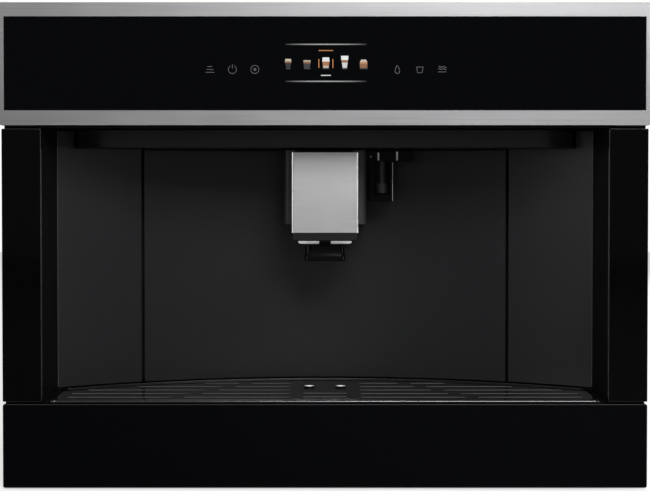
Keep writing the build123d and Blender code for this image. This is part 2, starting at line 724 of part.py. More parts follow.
# ================================================================ front
with BuildPart() as control_frame:
    with BuildSketch(facing(0)):
        with Locations((0, (PANEL_BOTTOM + PANEL_TOP) / 2)):
            RectangleRounded(FRAME_WIDTH, PANEL_HEIGHT, EDGE_BREAK)
    extrude(amount=-PANEL_DEPTH)
    with BuildSketch(facing(0)):
        span(
            FRAME_SIDE_BAR - FRAME_WIDTH / 2,
            FRAME_WIDTH / 2 - FRAME_SIDE_BAR,
            PANEL_BOTTOM + FRAME_BOTTOM_BAR,
            PANEL_TOP - FRAME_TOP_BAR,
        )
    extrude(amount=-PANEL_DEPTH, mode=Mode.SUBTRACT)
    with BuildSketch(facing(PANEL_DEPTH)):
        span(
            FRAME_SHEET - FRAME_WIDTH / 2,
            FRAME_WIDTH / 2 - FRAME_SHEET,
            PANEL_BOTTOM + FRAME_SHEET,
            PANEL_TOP - FRAME_SHEET,
        )
        span(
            FRAME_SIDE_BAR - FRAME_SHEET - FRAME_WIDTH / 2,
            FRAME_WIDTH / 2 - FRAME_SIDE_BAR + FRAME_SHEET,
            PANEL_BOTTOM + FRAME_BOTTOM_BAR - FRAME_SHEET,
            PANEL_TOP - FRAME_TOP_BAR + FRAME_SHEET,
            mode=Mode.SUBTRACT,
        )
    extrude(amount=PANEL_DEPTH - FRAME_SHEET, mode=Mode.SUBTRACT)

with BuildPart() as control_glass:
    with BuildSketch(facing(GLASS_SINK)):
        span(
            FRAME_SIDE_BAR + GLASS_FIT - FRAME_WIDTH / 2,
            FRAME_WIDTH / 2 - FRAME_SIDE_BAR - GLASS_FIT,
            PANEL_BOTTOM + FRAME_BOTTOM_BAR + GLASS_FIT,
            PANEL_TOP - FRAME_TOP_BAR - GLASS_FIT,
        )
    extrude(amount=-GLASS_THICKNESS)
    chamfer(control_glass.faces().sort_by(Axis.Y)[0].edges(), GLASS_FIT)

with BuildPart() as column_glass_right:
    with BuildSketch(facing(0)) as column_outline:
        span(NICHE_HALF, FACE_HALF, COLUMN_BOTTOM, COLUMN_TOP)
        fillet(column_outline.vertices(), EDGE_BREAK)
    extrude(amount=-COLUMN_THICKNESS)
    chamfer(column_glass_right.faces().sort_by(Axis.Y)[0].edges(), EDGE_BREAK / 2)

with BuildPart() as column_glass_left:
    mirror(column_glass_right.part, about=Plane.YZ)

# ================================================================ niche
liner_inner = DOOR_HALF + SEAM
liner_ribs = (liner_inner + 2 * BASIN_FRONT, NICHE_HALF - BASIN_FRONT)

with BuildPart() as niche_liner_right:
    with BuildSketch(Plane.XY.offset(DOOR_BOTTOM)):
        arc_strip(NICHE_RADIUS, NICHE_RADIUS + SKIN, liner_inner, NICHE_HALF)
    extrude(amount=CEILING_Z - DOOR_BOTTOM)
    # stand-off ribs to the ring frame behind
    with BuildSketch(Plane.XY.offset(DOOR_BOTTOM + SKIN)):
        for rib_x in liner_ribs:
            arc_strip(NICHE_RADIUS + SKIN, RING_RADIUS, rib_x - SKIN / 2, rib_x + SKIN / 2)
    extrude(amount=CEILING_Z - DOOR_BOTTOM - 2 * SKIN)
    # notch that the ceiling block fits in
    with BuildSketch(Plane.XY.offset(CEILING_BOTTOM - GLASS_FIT)):
        span(
            0,
            CEILING_BLOCK_WIDTH / 2 + GLASS_FIT,
            y_at(0),
            y_at(DECK_FRONT),
        )
    extrude(amount=CEILING_Z - CEILING_BOTTOM + GLASS_FIT, mode=Mode.SUBTRACT)

with BuildPart() as niche_liner_left:
    mirror(niche_liner_right.part, about=Plane.YZ)

with BuildPart() as ceiling_block:
    with BuildSketch(Plane.XY.offset(CEILING_BOTTOM)) as block_plan:
        span(
            -CEILING_BLOCK_WIDTH / 2,
            CEILING_BLOCK_WIDTH / 2,
            y_at(CEILING_BLOCK_DEPTH),
            y_at(DECK_FRONT),
        )
        fillet(block_plan.vertices().group_by(Axis.Y)[0], CEILING_BLOCK_CORNER)
    extrude(amount=CEILING_Z - CEILING_BOTTOM)
    fillet(ceiling_block.faces().sort_by(Axis.Y)[0].edges().sort_by(Axis.Z)[0], EDGE_BREAK)
    with BuildSketch(Plane.XY.offset(CEILING_BOTTOM)):
        with Locations((-LAMP_X, y_at(LAMP_DEPTH)), (LAMP_X, y_at(LAMP_DEPTH))):
            Circle(LAMP_RADIUS)
    extrude(amount=LAMP_HEIGHT, mode=Mode.SUBTRACT)
    # trimmed to the inside of the ring frame
    with BuildSketch(Plane.XY.offset(CEILING_BOTTOM)):
        with Locations(ARC_CENTRE):
            Circle(RING_RADIUS)
    extrude(amount=CEILING_Z - CEILING_BOTTOM, mode=Mode.INTERSECT)

with BuildPart() as niche_lamps:
    with BuildSketch(Plane.XY.offset(CEILING_BOTTOM)):
        with Locations((-LAMP_X, y_at(LAMP_DEPTH)), (LAMP_X, y_at(LAMP_DEPTH))):
            Circle(LAMP_RADIUS)
    extrude(amount=LAMP_HEIGHT)

window_half = DOOR_HALF - 2 * HINGE_LUG
window_margin = 2 * FRAME_RING

with BuildPart() as door_frame:
    with BuildSketch(Plane.XY.offset(DOOR_BOTTOM + EDGE_BREAK)):
        arc_strip(RING_RADIUS, RING_RADIUS + FRAME_RING, -NICHE_HALF, NICHE_HALF)
    extrude(amount=CEILING_Z - DOOR_BOTTOM - EDGE_BREAK)
    with BuildSketch(Plane.XY.offset(DOOR_BOTTOM + window_margin)):
        span(-window_half, window_half, y_at(0), y_at(DEPTH))
    extrude(amount=DOOR_HEIGHT - 2 * window_margin, mode=Mode.SUBTRACT)
    # two stops at the free edge, which the closed door rests on
    with BuildSketch(Plane.XY.offset(DOOR_BOTTOM + HINGE_FROM_END)):
        arc_strip(DOOR_BACK_RADIUS, RING_RADIUS, DOOR_HALF - HINGE_LUG, DOOR_HALF)
    extrude(amount=HINGE_BRACKET)
    with BuildSketch(Plane.XY.offset(DOOR_TOP - HINGE_FROM_END - HINGE_BRACKET)):
        arc_strip(DOOR_BACK_RADIUS, RING_RADIUS, DOOR_HALF - HINGE_LUG, DOOR_HALF)
    extrude(amount=HINGE_BRACKET)

# ================================================================ service door and its hinge
hinge_x = HINGE_INSET - DOOR_HALF
hinge_y = y_at(arc_depth(hinge_x) + HINGE_BEHIND)
bracket_floors = (DOOR_BOTTOM + HINGE_FROM_END, DOOR_TOP - HINGE_FROM_END - HINGE_BRACKET)
pin_length = HINGE_BRACKET + 2 * (HINGE_GAP + HINGE_LUG)

with BuildPart() as hinge_brackets:
    for floor in bracket_floors:
        with BuildSketch(Plane.XY.offset(floor)):
            with Locations((hinge_x, hinge_y)):
                Circle(HINGE_EYE / 2)
            span(
                hinge_x + HINGE_PLAY * 4,
                hinge_x + HINGE_EYE / 2,
                hinge_y,
                hinge_y + FRAME_BEHIND_DOOR + DOOR_EDGE,
            )
            arc_strip(
                RING_RADIUS - HINGE_LEAF,
                RING_RADIUS + FRAME_RING,
                hinge_x - HINGE_LUG,
                hinge_x + HINGE_LUG + SKIN,
            )
            with Locations(ARC_CENTRE):
                Circle(RING_RADIUS, mode=Mode.INTERSECT)
        extrude(amount=HINGE_BRACKET)
        with BuildSketch(Plane.XY.offset(floor - HINGE_GAP - HINGE_LUG)):
            with Locations((hinge_x, hinge_y)):
                Circle(HINGE_PIN / 2)
        extrude(amount=pin_length)

with BuildPart() as door_panel:
    with BuildSketch(Plane.XY.offset(DOOR_BOTTOM)):
        arc_strip(NICHE_RADIUS, DOOR_BACK_RADIUS, -DOOR_HALF, DOOR_HALF)
    extrude(amount=DOOR_HEIGHT)
    with BuildSketch(Plane.XY.offset(DOOR_BOTTOM + SKIN)):
        arc_strip(NICHE_RADIUS + SKIN, DOOR_BACK_RADIUS, SKIN - DOOR_HALF, DOOR_HALF - SKIN)
    extrude(amount=DOOR_HEIGHT - 2 * SKIN, mode=Mode.SUBTRACT)
    # upright stiffening ribs
    with BuildSketch(Plane.XY.offset(DOOR_BOTTOM + SKIN)):
        for rib_x in (-DOOR_HALF / 2, 0, DOOR_HALF / 2):
            arc_strip(NICHE_RADIUS + SKIN, DOOR_BACK_RADIUS, rib_x - DOOR_RIB / 2, rib_x + DOOR_RIB / 2)
    extrude(amount=DOOR_HEIGHT - 2 * SKIN)
    # hinge corner: a lug above and below each bracket, with the bracket's room between them
    for floor in bracket_floors:
        with BuildSketch(Plane.XY.offset(floor - HINGE_GAP - HINGE_LUG)):
            arc_strip(
                NICHE_RADIUS + SKIN,
                DOOR_BACK_RADIUS,
                -DOOR_HALF,
                hinge_x + HINGE_LUG - SKIN,
            )
        extrude(amount=pin_length)
        with BuildSketch(Plane.XY.offset(floor - HINGE_GAP)):
            arc_strip(
                NICHE_RADIUS + SKIN,
                DOOR_BACK_RADIUS,
                -DOOR_HALF - SKIN,
                hinge_x + HINGE_LUG,
            )
            with Locations((hinge_x, hinge_y)):
                Circle(HINGE_EYE / 2 + HINGE_GAP)
        extrude(amount=HINGE_BRACKET + 2 * HINGE_GAP, mode=Mode.SUBTRACT)
        with BuildSketch(Plane.XY.offset(floor - HINGE_GAP - HINGE_LUG)):
            with Locations((hinge_x, hinge_y)):
                Circle(HINGE_PIN / 2 + HINGE_PLAY)
        extrude(amount=pin_length, mode=Mode.SUBTRACT)

guide_floor = DOOR_TOP - GUIDE_HEIGHT
channel_half = GUIDE_CHANNEL / 2

with BuildPart() as spout_guide:
    with BuildSketch(Plane.XY.offset(guide_floor)) as guide_plan:
        span(-GUIDE_WIDTH / 2, GUIDE_WIDTH / 2, y_at(GUIDE_FRONT), y_at(DECK_FRONT))
        fillet(guide_plan.vertices().group_by(Axis.Y)[0], GUIDE_CORNER)
        span(
            -channel_half,
            channel_half,
            y_at(GUIDE_FRONT - GUIDE_CORNER),
            y_at(GUIDE_CHANNEL_BACK),
            mode=Mode.SUBTRACT,
        )
        span(
            -channel_half - GUIDE_GROOVE,
            channel_half + GUIDE_GROOVE,
            y_at(GUIDE_GROOVE_DEPTH),
            y_at(GUIDE_GROOVE_DEPTH + GUIDE_GROOVE_WIDTH),
            mode=Mode.SUBTRACT,
        )
        with Locations(ARC_CENTRE):
            Circle(NICHE_RADIUS, mode=Mode.INTERSECT)
    extrude(amount=GUIDE_HEIGHT)

# ================================================================ coffee spout, which slides in the guide
cover_top = DOOR_TOP - COVER_TOP_GAP
cover_bottom = cover_top - COVER_HEIGHT
body_bottom = cover_bottom - SPOUT_CHIN
cover_half = COVER_WIDTH / 2
body_half = cover_half - COVER_SHEET
carriage_top = cover_top - CARRIAGE_DROP
carriage_half = channel_half - SLIDE_PLAY

with BuildPart() as spout_cover:
    with BuildSketch(Plane.XY.offset(cover_bottom)) as cover_plan:
        span(-cover_half, cover_half, y_at(SPOUT_DEPTH), y_at(GUIDE_FRONT - SLIDE_PLAY * 2))
        fillet(cover_plan.vertices().group_by(Axis.Y)[0], COVER_CORNER)
    extrude(amount=COVER_HEIGHT)
    with BuildSketch(Plane.XY.offset(cover_bottom)) as cover_inside:
        span(-body_half, body_half, y_at(SPOUT_DEPTH + COVER_SHEET), y_at(GUIDE_FRONT))
        fillet(cover_inside.vertices().group_by(Axis.Y)[0], COVER_CORNER - COVER_SHEET)
    extrude(amount=COVER_HEIGHT - COVER_SHEET, mode=Mode.SUBTRACT)

with BuildPart() as spout_body:
    with BuildSketch(Plane.XY.offset(body_bottom)) as body_plan:
        span(-body_half, body_half, y_at(SPOUT_DEPTH + COVER_SHEET), y_at(GUIDE_FRONT - SLIDE_PLAY * 2))
        fillet(body_plan.vertices().group_by(Axis.Y)[0], COVER_CORNER)
    extrude(amount=SPOUT_CHIN + COVER_HEIGHT - COVER_SHEET)
    chamfer(spout_body.faces().sort_by(Axis.Z)[0].edges().sort_by(Axis.Y)[0], EDGE_BREAK)
    # carriage with a tongue on each side
    with BuildSketch(Plane.XY.offset(guide_floor + CARRIAGE_DROP)):
        span(
            -carriage_half,
            carriage_half,
            y_at(GUIDE_FRONT - SLIDE_PLAY * 2),
            y_at(GUIDE_CHANNEL_BACK - SLIDE_PLAY),
        )
        span(
            -carriage_half - GUIDE_GROOVE,
            carriage_half + GUIDE_GROOVE,
            y_at(GUIDE_GROOVE_DEPTH + SLIDE_PLAY),
            y_at(GUIDE_GROOVE_DEPTH + GUIDE_GROOVE_WIDTH - SLIDE_PLAY),
        )
    extrude(amount=carriage_top - guide_floor - CARRIAGE_DROP)
    # milk and coffee head under the body
    with BuildSketch(Plane.XY.offset(body_bottom - COLLAR_HEIGHT - HEAD_HEIGHT)):
        with Locations((0, y_at(OUTLET_DEPTH))):
            RectangleRounded(HEAD_WIDTH, HEAD_LENGTH, HEAD_CORNER)
    extrude(amount=HEAD_HEIGHT, taper=HEAD_FLARE)
    with BuildSketch(Plane.XY.offset(body_bottom - COLLAR_HEIGHT)):
        with Locations((0, y_at(OUTLET_DEPTH))):
            Rectangle(HEAD_NECK, HEAD_LENGTH / 2)
    extrude(amount=COLLAR_HEIGHT)
    with BuildSketch(Plane.XY.offset(body_bottom - COLLAR_HEIGHT - HEAD_HEIGHT)):
        with Locations((0, y_at(OUTLET_DEPTH))):
            with GridLocations(HEAD_BORE_SPACING, 0, 2, 1):
                Circle(HEAD_BORE / 2)
    extrude(amount=HEAD_HEIGHT, mode=Mode.SUBTRACT)

with BuildPart() as spout_outlets:
    with BuildSketch(Plane.XY.offset(body_bottom - COLLAR_HEIGHT)):
        with Locations((0, y_at(OUTLET_DEPTH))):
            with GridLocations(OUTLET_SPACING, 0, 2, 1):
                RectangleRounded(OUTLET_COLLAR, OUTLET_LENGTH, OUTLET_ROUND)
                Circle(OUTLET_BORE / 2, mode=Mode.SUBTRACT)
    extrude(amount=COLLAR_HEIGHT)

# ================================================================ steam nozzle in its holder on the door
holder_top = cover_top + COVER_TOP_GAP / 2
holder_floor = holder_top - PLATE_HEIGHT - HOLDER_HEIGHT

with BuildPart() as nozzle_holder:
    with BuildSketch(facing(HOLDER_FRONT)):
        span(HOLDER_LEFT, HOLDER_RIGHT, holder_floor, holder_top - PLATE_HEIGHT)
        span(
            HOLDER_LEFT + HOLDER_SIDE,
            HOLDER_RIGHT - HOLDER_SIDE,
            holder_floor + HOLDER_FLOOR,
            holder_top,
            mode=Mode.SUBTRACT,
        )
        span(PLATE_LEFT, PLATE_RIGHT, holder_top - PLATE_HEIGHT, holder_top)
    extrude(amount=-(DECK_FRONT - HOLDER_FRONT))
    with BuildSketch(Plane.XY.offset(holder_floor)):
        with Locations(ARC_CENTRE):
            Circle(NICHE_RADIUS)
    extrude(amount=holder_top - holder_floor, mode=Mode.INTERSECT)

with BuildPart() as steam_nozzle:
    nozzle_top = holder_top - PLATE_HEIGHT
    with BuildSketch(Plane.XY.offset(nozzle_top - NOZZLE_LENGTH)):
        with Locations((NOZZLE_X, y_at(NOZZLE_DEPTH))):
            Circle(NOZZLE_STEM / 2)
            Circle(PORT_RADIUS / 2, mode=Mode.SUBTRACT)
    extrude(amount=NOZZLE_LENGTH)
    with BuildSketch(Plane.XY.offset(nozzle_top - NOZZLE_LENGTH)):
        with Locations((NOZZLE_X, y_at(NOZZLE_DEPTH))):
            Circle(NOZZLE_DIAMETER / 2)
            Circle(PORT_RADIUS / 2, mode=Mode.SUBTRACT)
    extrude(amount=NOZZLE_TIP)
    chamfer(steam_nozzle.faces().sort_by(Axis.Z)[0].outer_wire().edges(), EDGE_BREAK)

# ================================================================ drip tray drawer
grid_radius = NICHE_RADIUS - GRID_BACK_CLEARANCE
basin_radius = NICHE_RADIUS - BASIN_BACK_CLEARANCE
grid_half = GRID_WIDTH / 2
basin_half = BASIN_WIDTH / 2
basin_back = arc_depth(0, basin_radius)

with BuildPart() as drawer_fascia:
    with BuildSketch(facing(0)) as fascia_outline:
        span(-FACE_HALF, FACE_HALF, FASCIA_LIFT, FASCIA_TOP)
        fillet(fascia_outline.vertices(), EDGE_BREAK * 2)
    extrude(amount=-FASCIA_THICKNESS)
    chamfer(drawer_fascia.faces().sort_by(Axis.Y)[0].edges(), EDGE_BREAK)

with BuildPart() as drip_basin:
    # carrier that the fascia is bonded to
    with BuildSketch(facing(FASCIA_THICKNESS)):
        rounded_span(
            -CARRIER_WIDTH / 2,
            CARRIER_WIDTH / 2,
            FASCIA_LIFT + CARRIER_MARGIN,
            FASCIA_TOP - CARRIER_MARGIN,
            CARRIER_MARGIN,
        )
    extrude(amount=-(BASIN_FRONT - FASCIA_THICKNESS))
    # the basin, whose back follows the niche wall
    with BuildSketch(Plane.XY.offset(BASIN_BOTTOM)):
        span(-basin_half, basin_half, y_at(BASIN_FRONT), y_at(NICHE_DEPTH))
        with Locations(ARC_CENTRE):
            Circle(basin_radius, mode=Mode.INTERSECT)
    extrude(amount=GRID_BOTTOM - BASIN_BOTTOM)
    with BuildSketch(Plane.XY.offset(BASIN_BOTTOM + BASIN_WALL)):
        span(
            BASIN_WALL - basin_half,
            basin_half - BASIN_WALL,
            y_at(BASIN_FRONT + BASIN_WALL),
            y_at(NICHE_DEPTH),
        )
        with Locations(ARC_CENTRE):
            Circle(basin_radius - BASIN_WALL, mode=Mode.INTERSECT)
    extrude(amount=GRID_BOTTOM - BASIN_BOTTOM, mode=Mode.SUBTRACT)
    # low walls that calm the water in the basin
    with BuildSketch(Plane.XY.offset(BASIN_BOTTOM + BASIN_WALL)):
        for wall_x in (-basin_half / 3, basin_half / 3):
            span(
                wall_x - BASIN_WALL / 2,
                wall_x + BASIN_WALL / 2,
                y_at(BASIN_FRONT + BASIN_WALL),
                y_at(arc_depth(wall_x, basin_radius - BASIN_WALL)),
            )
    extrude(amount=2 * BASIN_FRONT)
    # shelf behind the basin for the grounds container
    with BuildSketch(Plane.XY.offset(BASIN_BOTTOM)):
        shelf_half = GROUNDS_WIDTH / 2 + GROUNDS_GAP
        span(
            -shelf_half,
            shelf_half,
            y_at(arc_depth(shelf_half, basin_radius) - BASIN_WALL),
            y_at(basin_back + 2 * GROUNDS_GAP + GROUNDS_DEPTH),
        )
    extrude(amount=BASIN_WALL)
    with BuildSketch(Plane.XY.offset(BASIN_BOTTOM + BASIN_WALL)):
        span(
            -shelf_half,
            shelf_half,
            y_at(basin_back + GROUNDS_GAP * 1.5 + GROUNDS_DEPTH),
            y_at(basin_back + GROUNDS_GAP * 2 + GROUNDS_DEPTH),
        )
    extrude(amount=BASIN_FRONT)

with BuildPart() as grounds_container:
    grounds_floor = BASIN_BOTTOM + BASIN_WALL
    grounds_plane = y_at(basin_back + GROUNDS_GAP + GROUNDS_DEPTH / 2)
    with BuildSketch(Plane.XY.offset(grounds_floor)):
        with Locations((0, grounds_plane)):
            RectangleRounded(GROUNDS_WIDTH, GROUNDS_DEPTH, TANK_CORNER)
    extrude(amount=GROUNDS_HEIGHT)
    with BuildSketch(Plane.XY.offset(grounds_floor + GROUNDS_WALL)):
        with Locations((0, grounds_plane)):
            RectangleRounded(
                GROUNDS_WIDTH - 2 * GROUNDS_WALL,
                GROUNDS_DEPTH - 2 * GROUNDS_WALL,
                TANK_CORNER - GROUNDS_WALL,
            )
    extrude(amount=GROUNDS_HEIGHT, mode=Mode.SUBTRACT)

with BuildPart() as drip_grid:
    with BuildSketch(Plane.XY.offset(GRID_BOTTOM)):
        span(-grid_half, grid_half, y_at(GRID_FRONT), y_at(NICHE_DEPTH))
        with Locations(ARC_CENTRE):
            Circle(grid_radius, mode=Mode.INTERSECT)
    extrude(amount=GRID_SHEET)
    # rounded rim along the front edge
    rim_base = GRID_TOP - PAD_RAISE
    rim_top = GRID_TOP + RIM_HEIGHT
    rim_middle = (RIM_FRONT + RIM_BACK) / 2
    with BuildSketch(sideways(-grid_half)):
        with BuildLine():
            Polyline(
                (y_at(RIM_BACK), rim_base),
                (y_at(RIM_FRONT), rim_base),
                (y_at(RIM_FRONT), GRID_TOP + RIM_HEIGHT / 3),
            )
            ThreePointArc(
                (y_at(RIM_FRONT), GRID_TOP + RIM_HEIGHT / 3),
                (y_at(rim_middle), rim_top),
                (y_at(RIM_BACK), GRID_TOP),
            )
            Line((y_at(RIM_BACK), GRID_TOP), (y_at(RIM_BACK), rim_base))
        make_face()
    extrude(amount=GRID_WIDTH)
    # raised pad under the outlets
    with BuildSketch(Plane.XY.offset(GRID_TOP)):
        rounded_span(
            -PAD_WIDTH / 2,
            PAD_WIDTH / 2,
            y_at(PAD_FRONT),
            y_at(PAD_FRONT + PAD_DEPTH),
            GROUNDS_GAP,
        )
    extrude(amount=PAD_RAISE)
    with BuildSketch(Plane.XY.offset(GRID_TOP + PAD_RAISE)):
        with Locations((0, y_at(OUTLET_DEPTH))):
            with GridLocations(OUTLET_SPACING, 0, 2, 1):
                Circle(PAD_COLLAR / 2)
    extrude(amount=PAD_COLLAR_RAISE, taper=PAD_COLLAR_TAPER)
    # slots: an inner and an outer one in each row, parted by the diagonal ribs
    with BuildSketch(Plane.XY.offset(GRID_BOTTOM)):
        for row in range(SLOT_ROWS):
            row_depth = SLOT_FIRST_DEPTH + row * SLOT_PITCH
            rib_x = DIAGONAL_START - DIAGONAL_SLOPE * row * SLOT_PITCH
            arc_end = math.sqrt((NICHE_RADIUS - SLOT_ARC_MARGIN) ** 2
                                - (row_depth - NICHE_DEPTH + NICHE_RADIUS) ** 2)
            row_end = min(SLOT_SIDE_LIMIT, arc_end)
            for side in (-1, 1):
                for near, far in (
                    (PAD_WIDTH / 2 + SLOT_TO_PAD, rib_x - DIAGONAL_RIB / 2),
                    (rib_x + DIAGONAL_RIB / 2, row_end),
                ):
                    with Locations((side * (near + far) / 2, y_at(row_depth))):
                        Rectangle(far - near, SLOT_WIDTH)
        with Locations((0, y_at(SLOT_FIRST_DEPTH)), (0, y_at(SLOT_FIRST_DEPTH + SLOT_PITCH))):
            Rectangle(PAD_SLOT, SLOT_WIDTH)
        with Locations((0, y_at(OUTLET_DEPTH))):
            with GridLocations(OUTLET_SPACING, 0, 2, 1):
                Circle(PAD_HOLE / 2)
    extrude(amount=GRID_SHEET + PAD_RAISE + PAD_COLLAR_RAISE, mode=Mode.SUBTRACT)

# ================================================================ water tank, lid and stand
tank_top = CASE_TOP - TANK_TOP_DROP
tank_floor = tank_top - TANK_HEIGHT
tank_y = y_at(TANK_DEPTH)
tank_back = tank_y + TANK_LENGTH / 2
stand_top = tank_floor - GLASS_FIT

with BuildPart() as water_tank:
    with BuildSketch(Plane.XY.offset(tank_floor)):
        with Locations((TANK_X, tank_y)):
            RectangleRounded(TANK_WIDTH, TANK_LENGTH, TANK_CORNER)
    extrude(amount=TANK_HEIGHT)
    with BuildSketch(Plane.XY.offset(tank_floor + TANK_WALL)):
        with Locations((TANK_X, tank_y)):
            RectangleRounded(
                TANK_WIDTH - 2 * TANK_WALL,
                TANK_LENGTH - 2 * TANK_WALL,
                TANK_CORNER - TANK_WALL,
            )
    extrude(amount=TANK_HEIGHT, mode=Mode.SUBTRACT)
    # valve spigot below the floor, with its bore
    with BuildSketch(Plane.XY.offset(tank_floor - HOLDER_FLOOR)):
        with Locations((TANK_X, tank_y)):
            Circle(KNOB_RADIUS)
    extrude(amount=HOLDER_FLOOR)
    with Locations((TANK_X, tank_y, tank_floor + TANK_WALL)):
        Hole(PORT_RADIUS, depth=TANK_WALL + HOLDER_FLOOR)
    # two eyes at the back of the rim for the lid's pins
    for side in (-1, 1):
        eye_x = TANK_X + side * TANK_WIDTH / 4
        with BuildSketch(sideways(eye_x - TANK_WALL)):
            with Locations((tank_back - HOPPER_LIP, tank_top + TANK_LID)):
                Circle(HOPPER_LIP)
            span(
                tank_back - 2 * HOPPER_LIP,
                tank_back,
                tank_top - TANK_LID,
                tank_top + TANK_LID,
            )
            with Locations((tank_back - HOPPER_LIP, tank_top + TANK_LID)):
                Circle(HOPPER_PIN / 2 + SHAFT_PLAY, mode=Mode.SUBTRACT)
        extrude(amount=2 * TANK_WALL)

with BuildPart() as tank_lid:
    lid_floor = tank_top + GLASS_FIT
    with BuildSketch(Plane.XY.offset(lid_floor)):
        with Locations((TANK_X, tank_y)):
            RectangleRounded(TANK_WIDTH, TANK_LENGTH, TANK_CORNER)
        span(
            TANK_X - TANK_WIDTH / 2,
            TANK_X + TANK_WIDTH / 2,
            tank_back - HOPPER_LIP + LID_PAST_PIN,
            tank_back,
            mode=Mode.SUBTRACT,
        )
    extrude(amount=TANK_LID)
    # notches round the eyes of the tank, and the pins through them
    for side in (-1, 1):
        eye_x = TANK_X + side * TANK_WIDTH / 4
        with BuildSketch(Plane.XY.offset(lid_floor)):
            span(
                eye_x - TANK_WALL - GLASS_FIT,
                eye_x + TANK_WALL + GLASS_FIT,
                tank_back - 3 * HOPPER_LIP,
                tank_back + HOPPER_LIP,
            )
        extrude(amount=TANK_LID, mode=Mode.SUBTRACT)
        with BuildSketch(sideways(eye_x - 2 * TANK_WALL)):
            with Locations((tank_back - HOPPER_LIP, tank_top + TANK_LID)):
                Circle(HOPPER_PIN / 2)
        extrude(amount=4 * TANK_WALL)
    # finger recess at the front edge
    with BuildSketch(Plane.XY.offset(lid_floor + TANK_LID / 2)):
        with Locations((TANK_X, tank_y - TANK_LENGTH / 3)):
            SlotOverall(TANK_WIDTH / 2, 2 * TANK_CORNER)
    extrude(amount=TANK_LID, mode=Mode.SUBTRACT)

with BuildPart() as tank_stand:
    stand_floor = LOWER_DECK_Z + DECK_SHEET
    with BuildSketch(Plane.XY.offset(stand_floor)):
        with Locations((TANK_X, tank_y)):
            RectangleRounded(TANK_WIDTH, TANK_LENGTH, TANK_CORNER)
    extrude(amount=stand_top - stand_floor)
    with BuildSketch(Plane.XY.offset(stand_floor)):
        with Locations((TANK_X, tank_y)):
            RectangleRounded(
                TANK_WIDTH - 2 * STAND_RIM,
                TANK_LENGTH - 2 * STAND_RIM,
                TANK_CORNER - STAND_RIM,
            )
    extrude(amount=stand_top - stand_floor - 4 * STAND_RIM, mode=Mode.SUBTRACT)
    # seat for the tank's spigot, drained by a port on the right
    with Locations((TANK_X, tank_y, stand_top)):
        Hole(KNOB_RADIUS + GLASS_FIT, depth=HOLDER_FLOOR + GLASS_FIT)
    port_z = stand_top - 2 * STAND_RIM - PORT_RADIUS
    port_plane = sideways(TANK_X + TANK_WIDTH / 2)
    with BuildSketch(port_plane):
        with Locations((tank_y, port_z - STAND_RIM)):
            Circle(PORT_RADIUS)
    extrude(amount=PORT_LENGTH)

# ================================================================ bean hopper with its lid
hopper_y = y_at(HOPPER_DEPTH)
hopper_rim = CASE_TOP
hopper_knee = hopper_rim - HOPPER_STRAIGHT
hopper_floor = hopper_rim - HOPPER_NECK
hopper_back = hopper_y + HOPPER_LENGTH / 2

with BuildPart() as bean_hopper:
    with BuildSketch(Plane.XY.offset(hopper_floor)):
        with Locations((GRINDER_X, y_at(GRINDER_DEPTH))):
            Circle(HOPPER_NECK_RADIUS)
    with BuildSketch(Plane.XY.offset(hopper_knee)):
        with Locations((HOPPER_X, hopper_y)):
            RectangleRounded(HOPPER_WIDTH, HOPPER_LENGTH, TANK_CORNER)
    loft()
    with BuildSketch(Plane.XY.offset(hopper_knee)):
        with Locations((HOPPER_X, hopper_y)):
            RectangleRounded(HOPPER_WIDTH, HOPPER_LENGTH, TANK_CORNER)
    extrude(amount=HOPPER_STRAIGHT)
    # lip that hangs on the top panel
    with BuildSketch(Plane.XY.offset(hopper_rim)):
        with Locations((HOPPER_X, hopper_y)):
            RectangleRounded(
                HOPPER_WIDTH + 2 * HOPPER_LIP,
                HOPPER_LENGTH + 2 * HOPPER_LIP,
                TANK_CORNER + HOPPER_LIP,
            )
    extrude(amount=HOPPER_LIP_HEIGHT)
    # inside
    with BuildSketch(Plane.XY.offset(hopper_floor)):
        with Locations((GRINDER_X, y_at(GRINDER_DEPTH))):
            Circle(HOPPER_NECK_RADIUS - HOPPER_WALL)
    with BuildSketch(Plane.XY.offset(hopper_knee)):
        with Locations((HOPPER_X, hopper_y)):
            RectangleRounded(
                HOPPER_WIDTH - 2 * HOPPER_WALL,
                HOPPER_LENGTH - 2 * HOPPER_WALL,
                TANK_CORNER - HOPPER_WALL,
            )
    loft(mode=Mode.SUBTRACT)
    with BuildSketch(Plane.XY.offset(hopper_knee)):
        with Locations((HOPPER_X, hopper_y)):
            RectangleRounded(
                HOPPER_WIDTH - 2 * HOPPER_WALL,
                HOPPER_LENGTH - 2 * HOPPER_WALL,
                TANK_CORNER - HOPPER_WALL,
            )
    extrude(amount=HOPPER_STRAIGHT + HOPPER_LIP_HEIGHT, mode=Mode.SUBTRACT)
    # two eyes for the lid's pins
    hopper_hinge_z = hopper_rim + HOPPER_LIP_HEIGHT + GLASS_FIT + HOPPER_PIN / 2
    for side in (-1, 1):
        eye_x = HOPPER_X + side * HOPPER_WIDTH / 4
        with BuildSketch(sideways(eye_x - HOPPER_WALL)):
            with Locations((hopper_back, hopper_hinge_z)):
                Circle(HOPPER_PIN)
            span(
                hopper_back - HOPPER_PIN,
                hopper_back + HOPPER_PIN,
                hopper_rim + HOPPER_LIP_HEIGHT,
                hopper_hinge_z,
            )
            with Locations((hopper_back, hopper_hinge_z)):
                Circle(HOPPER_PIN / 2 + SHAFT_PLAY, mode=Mode.SUBTRACT)
        extrude(amount=2 * HOPPER_WALL)

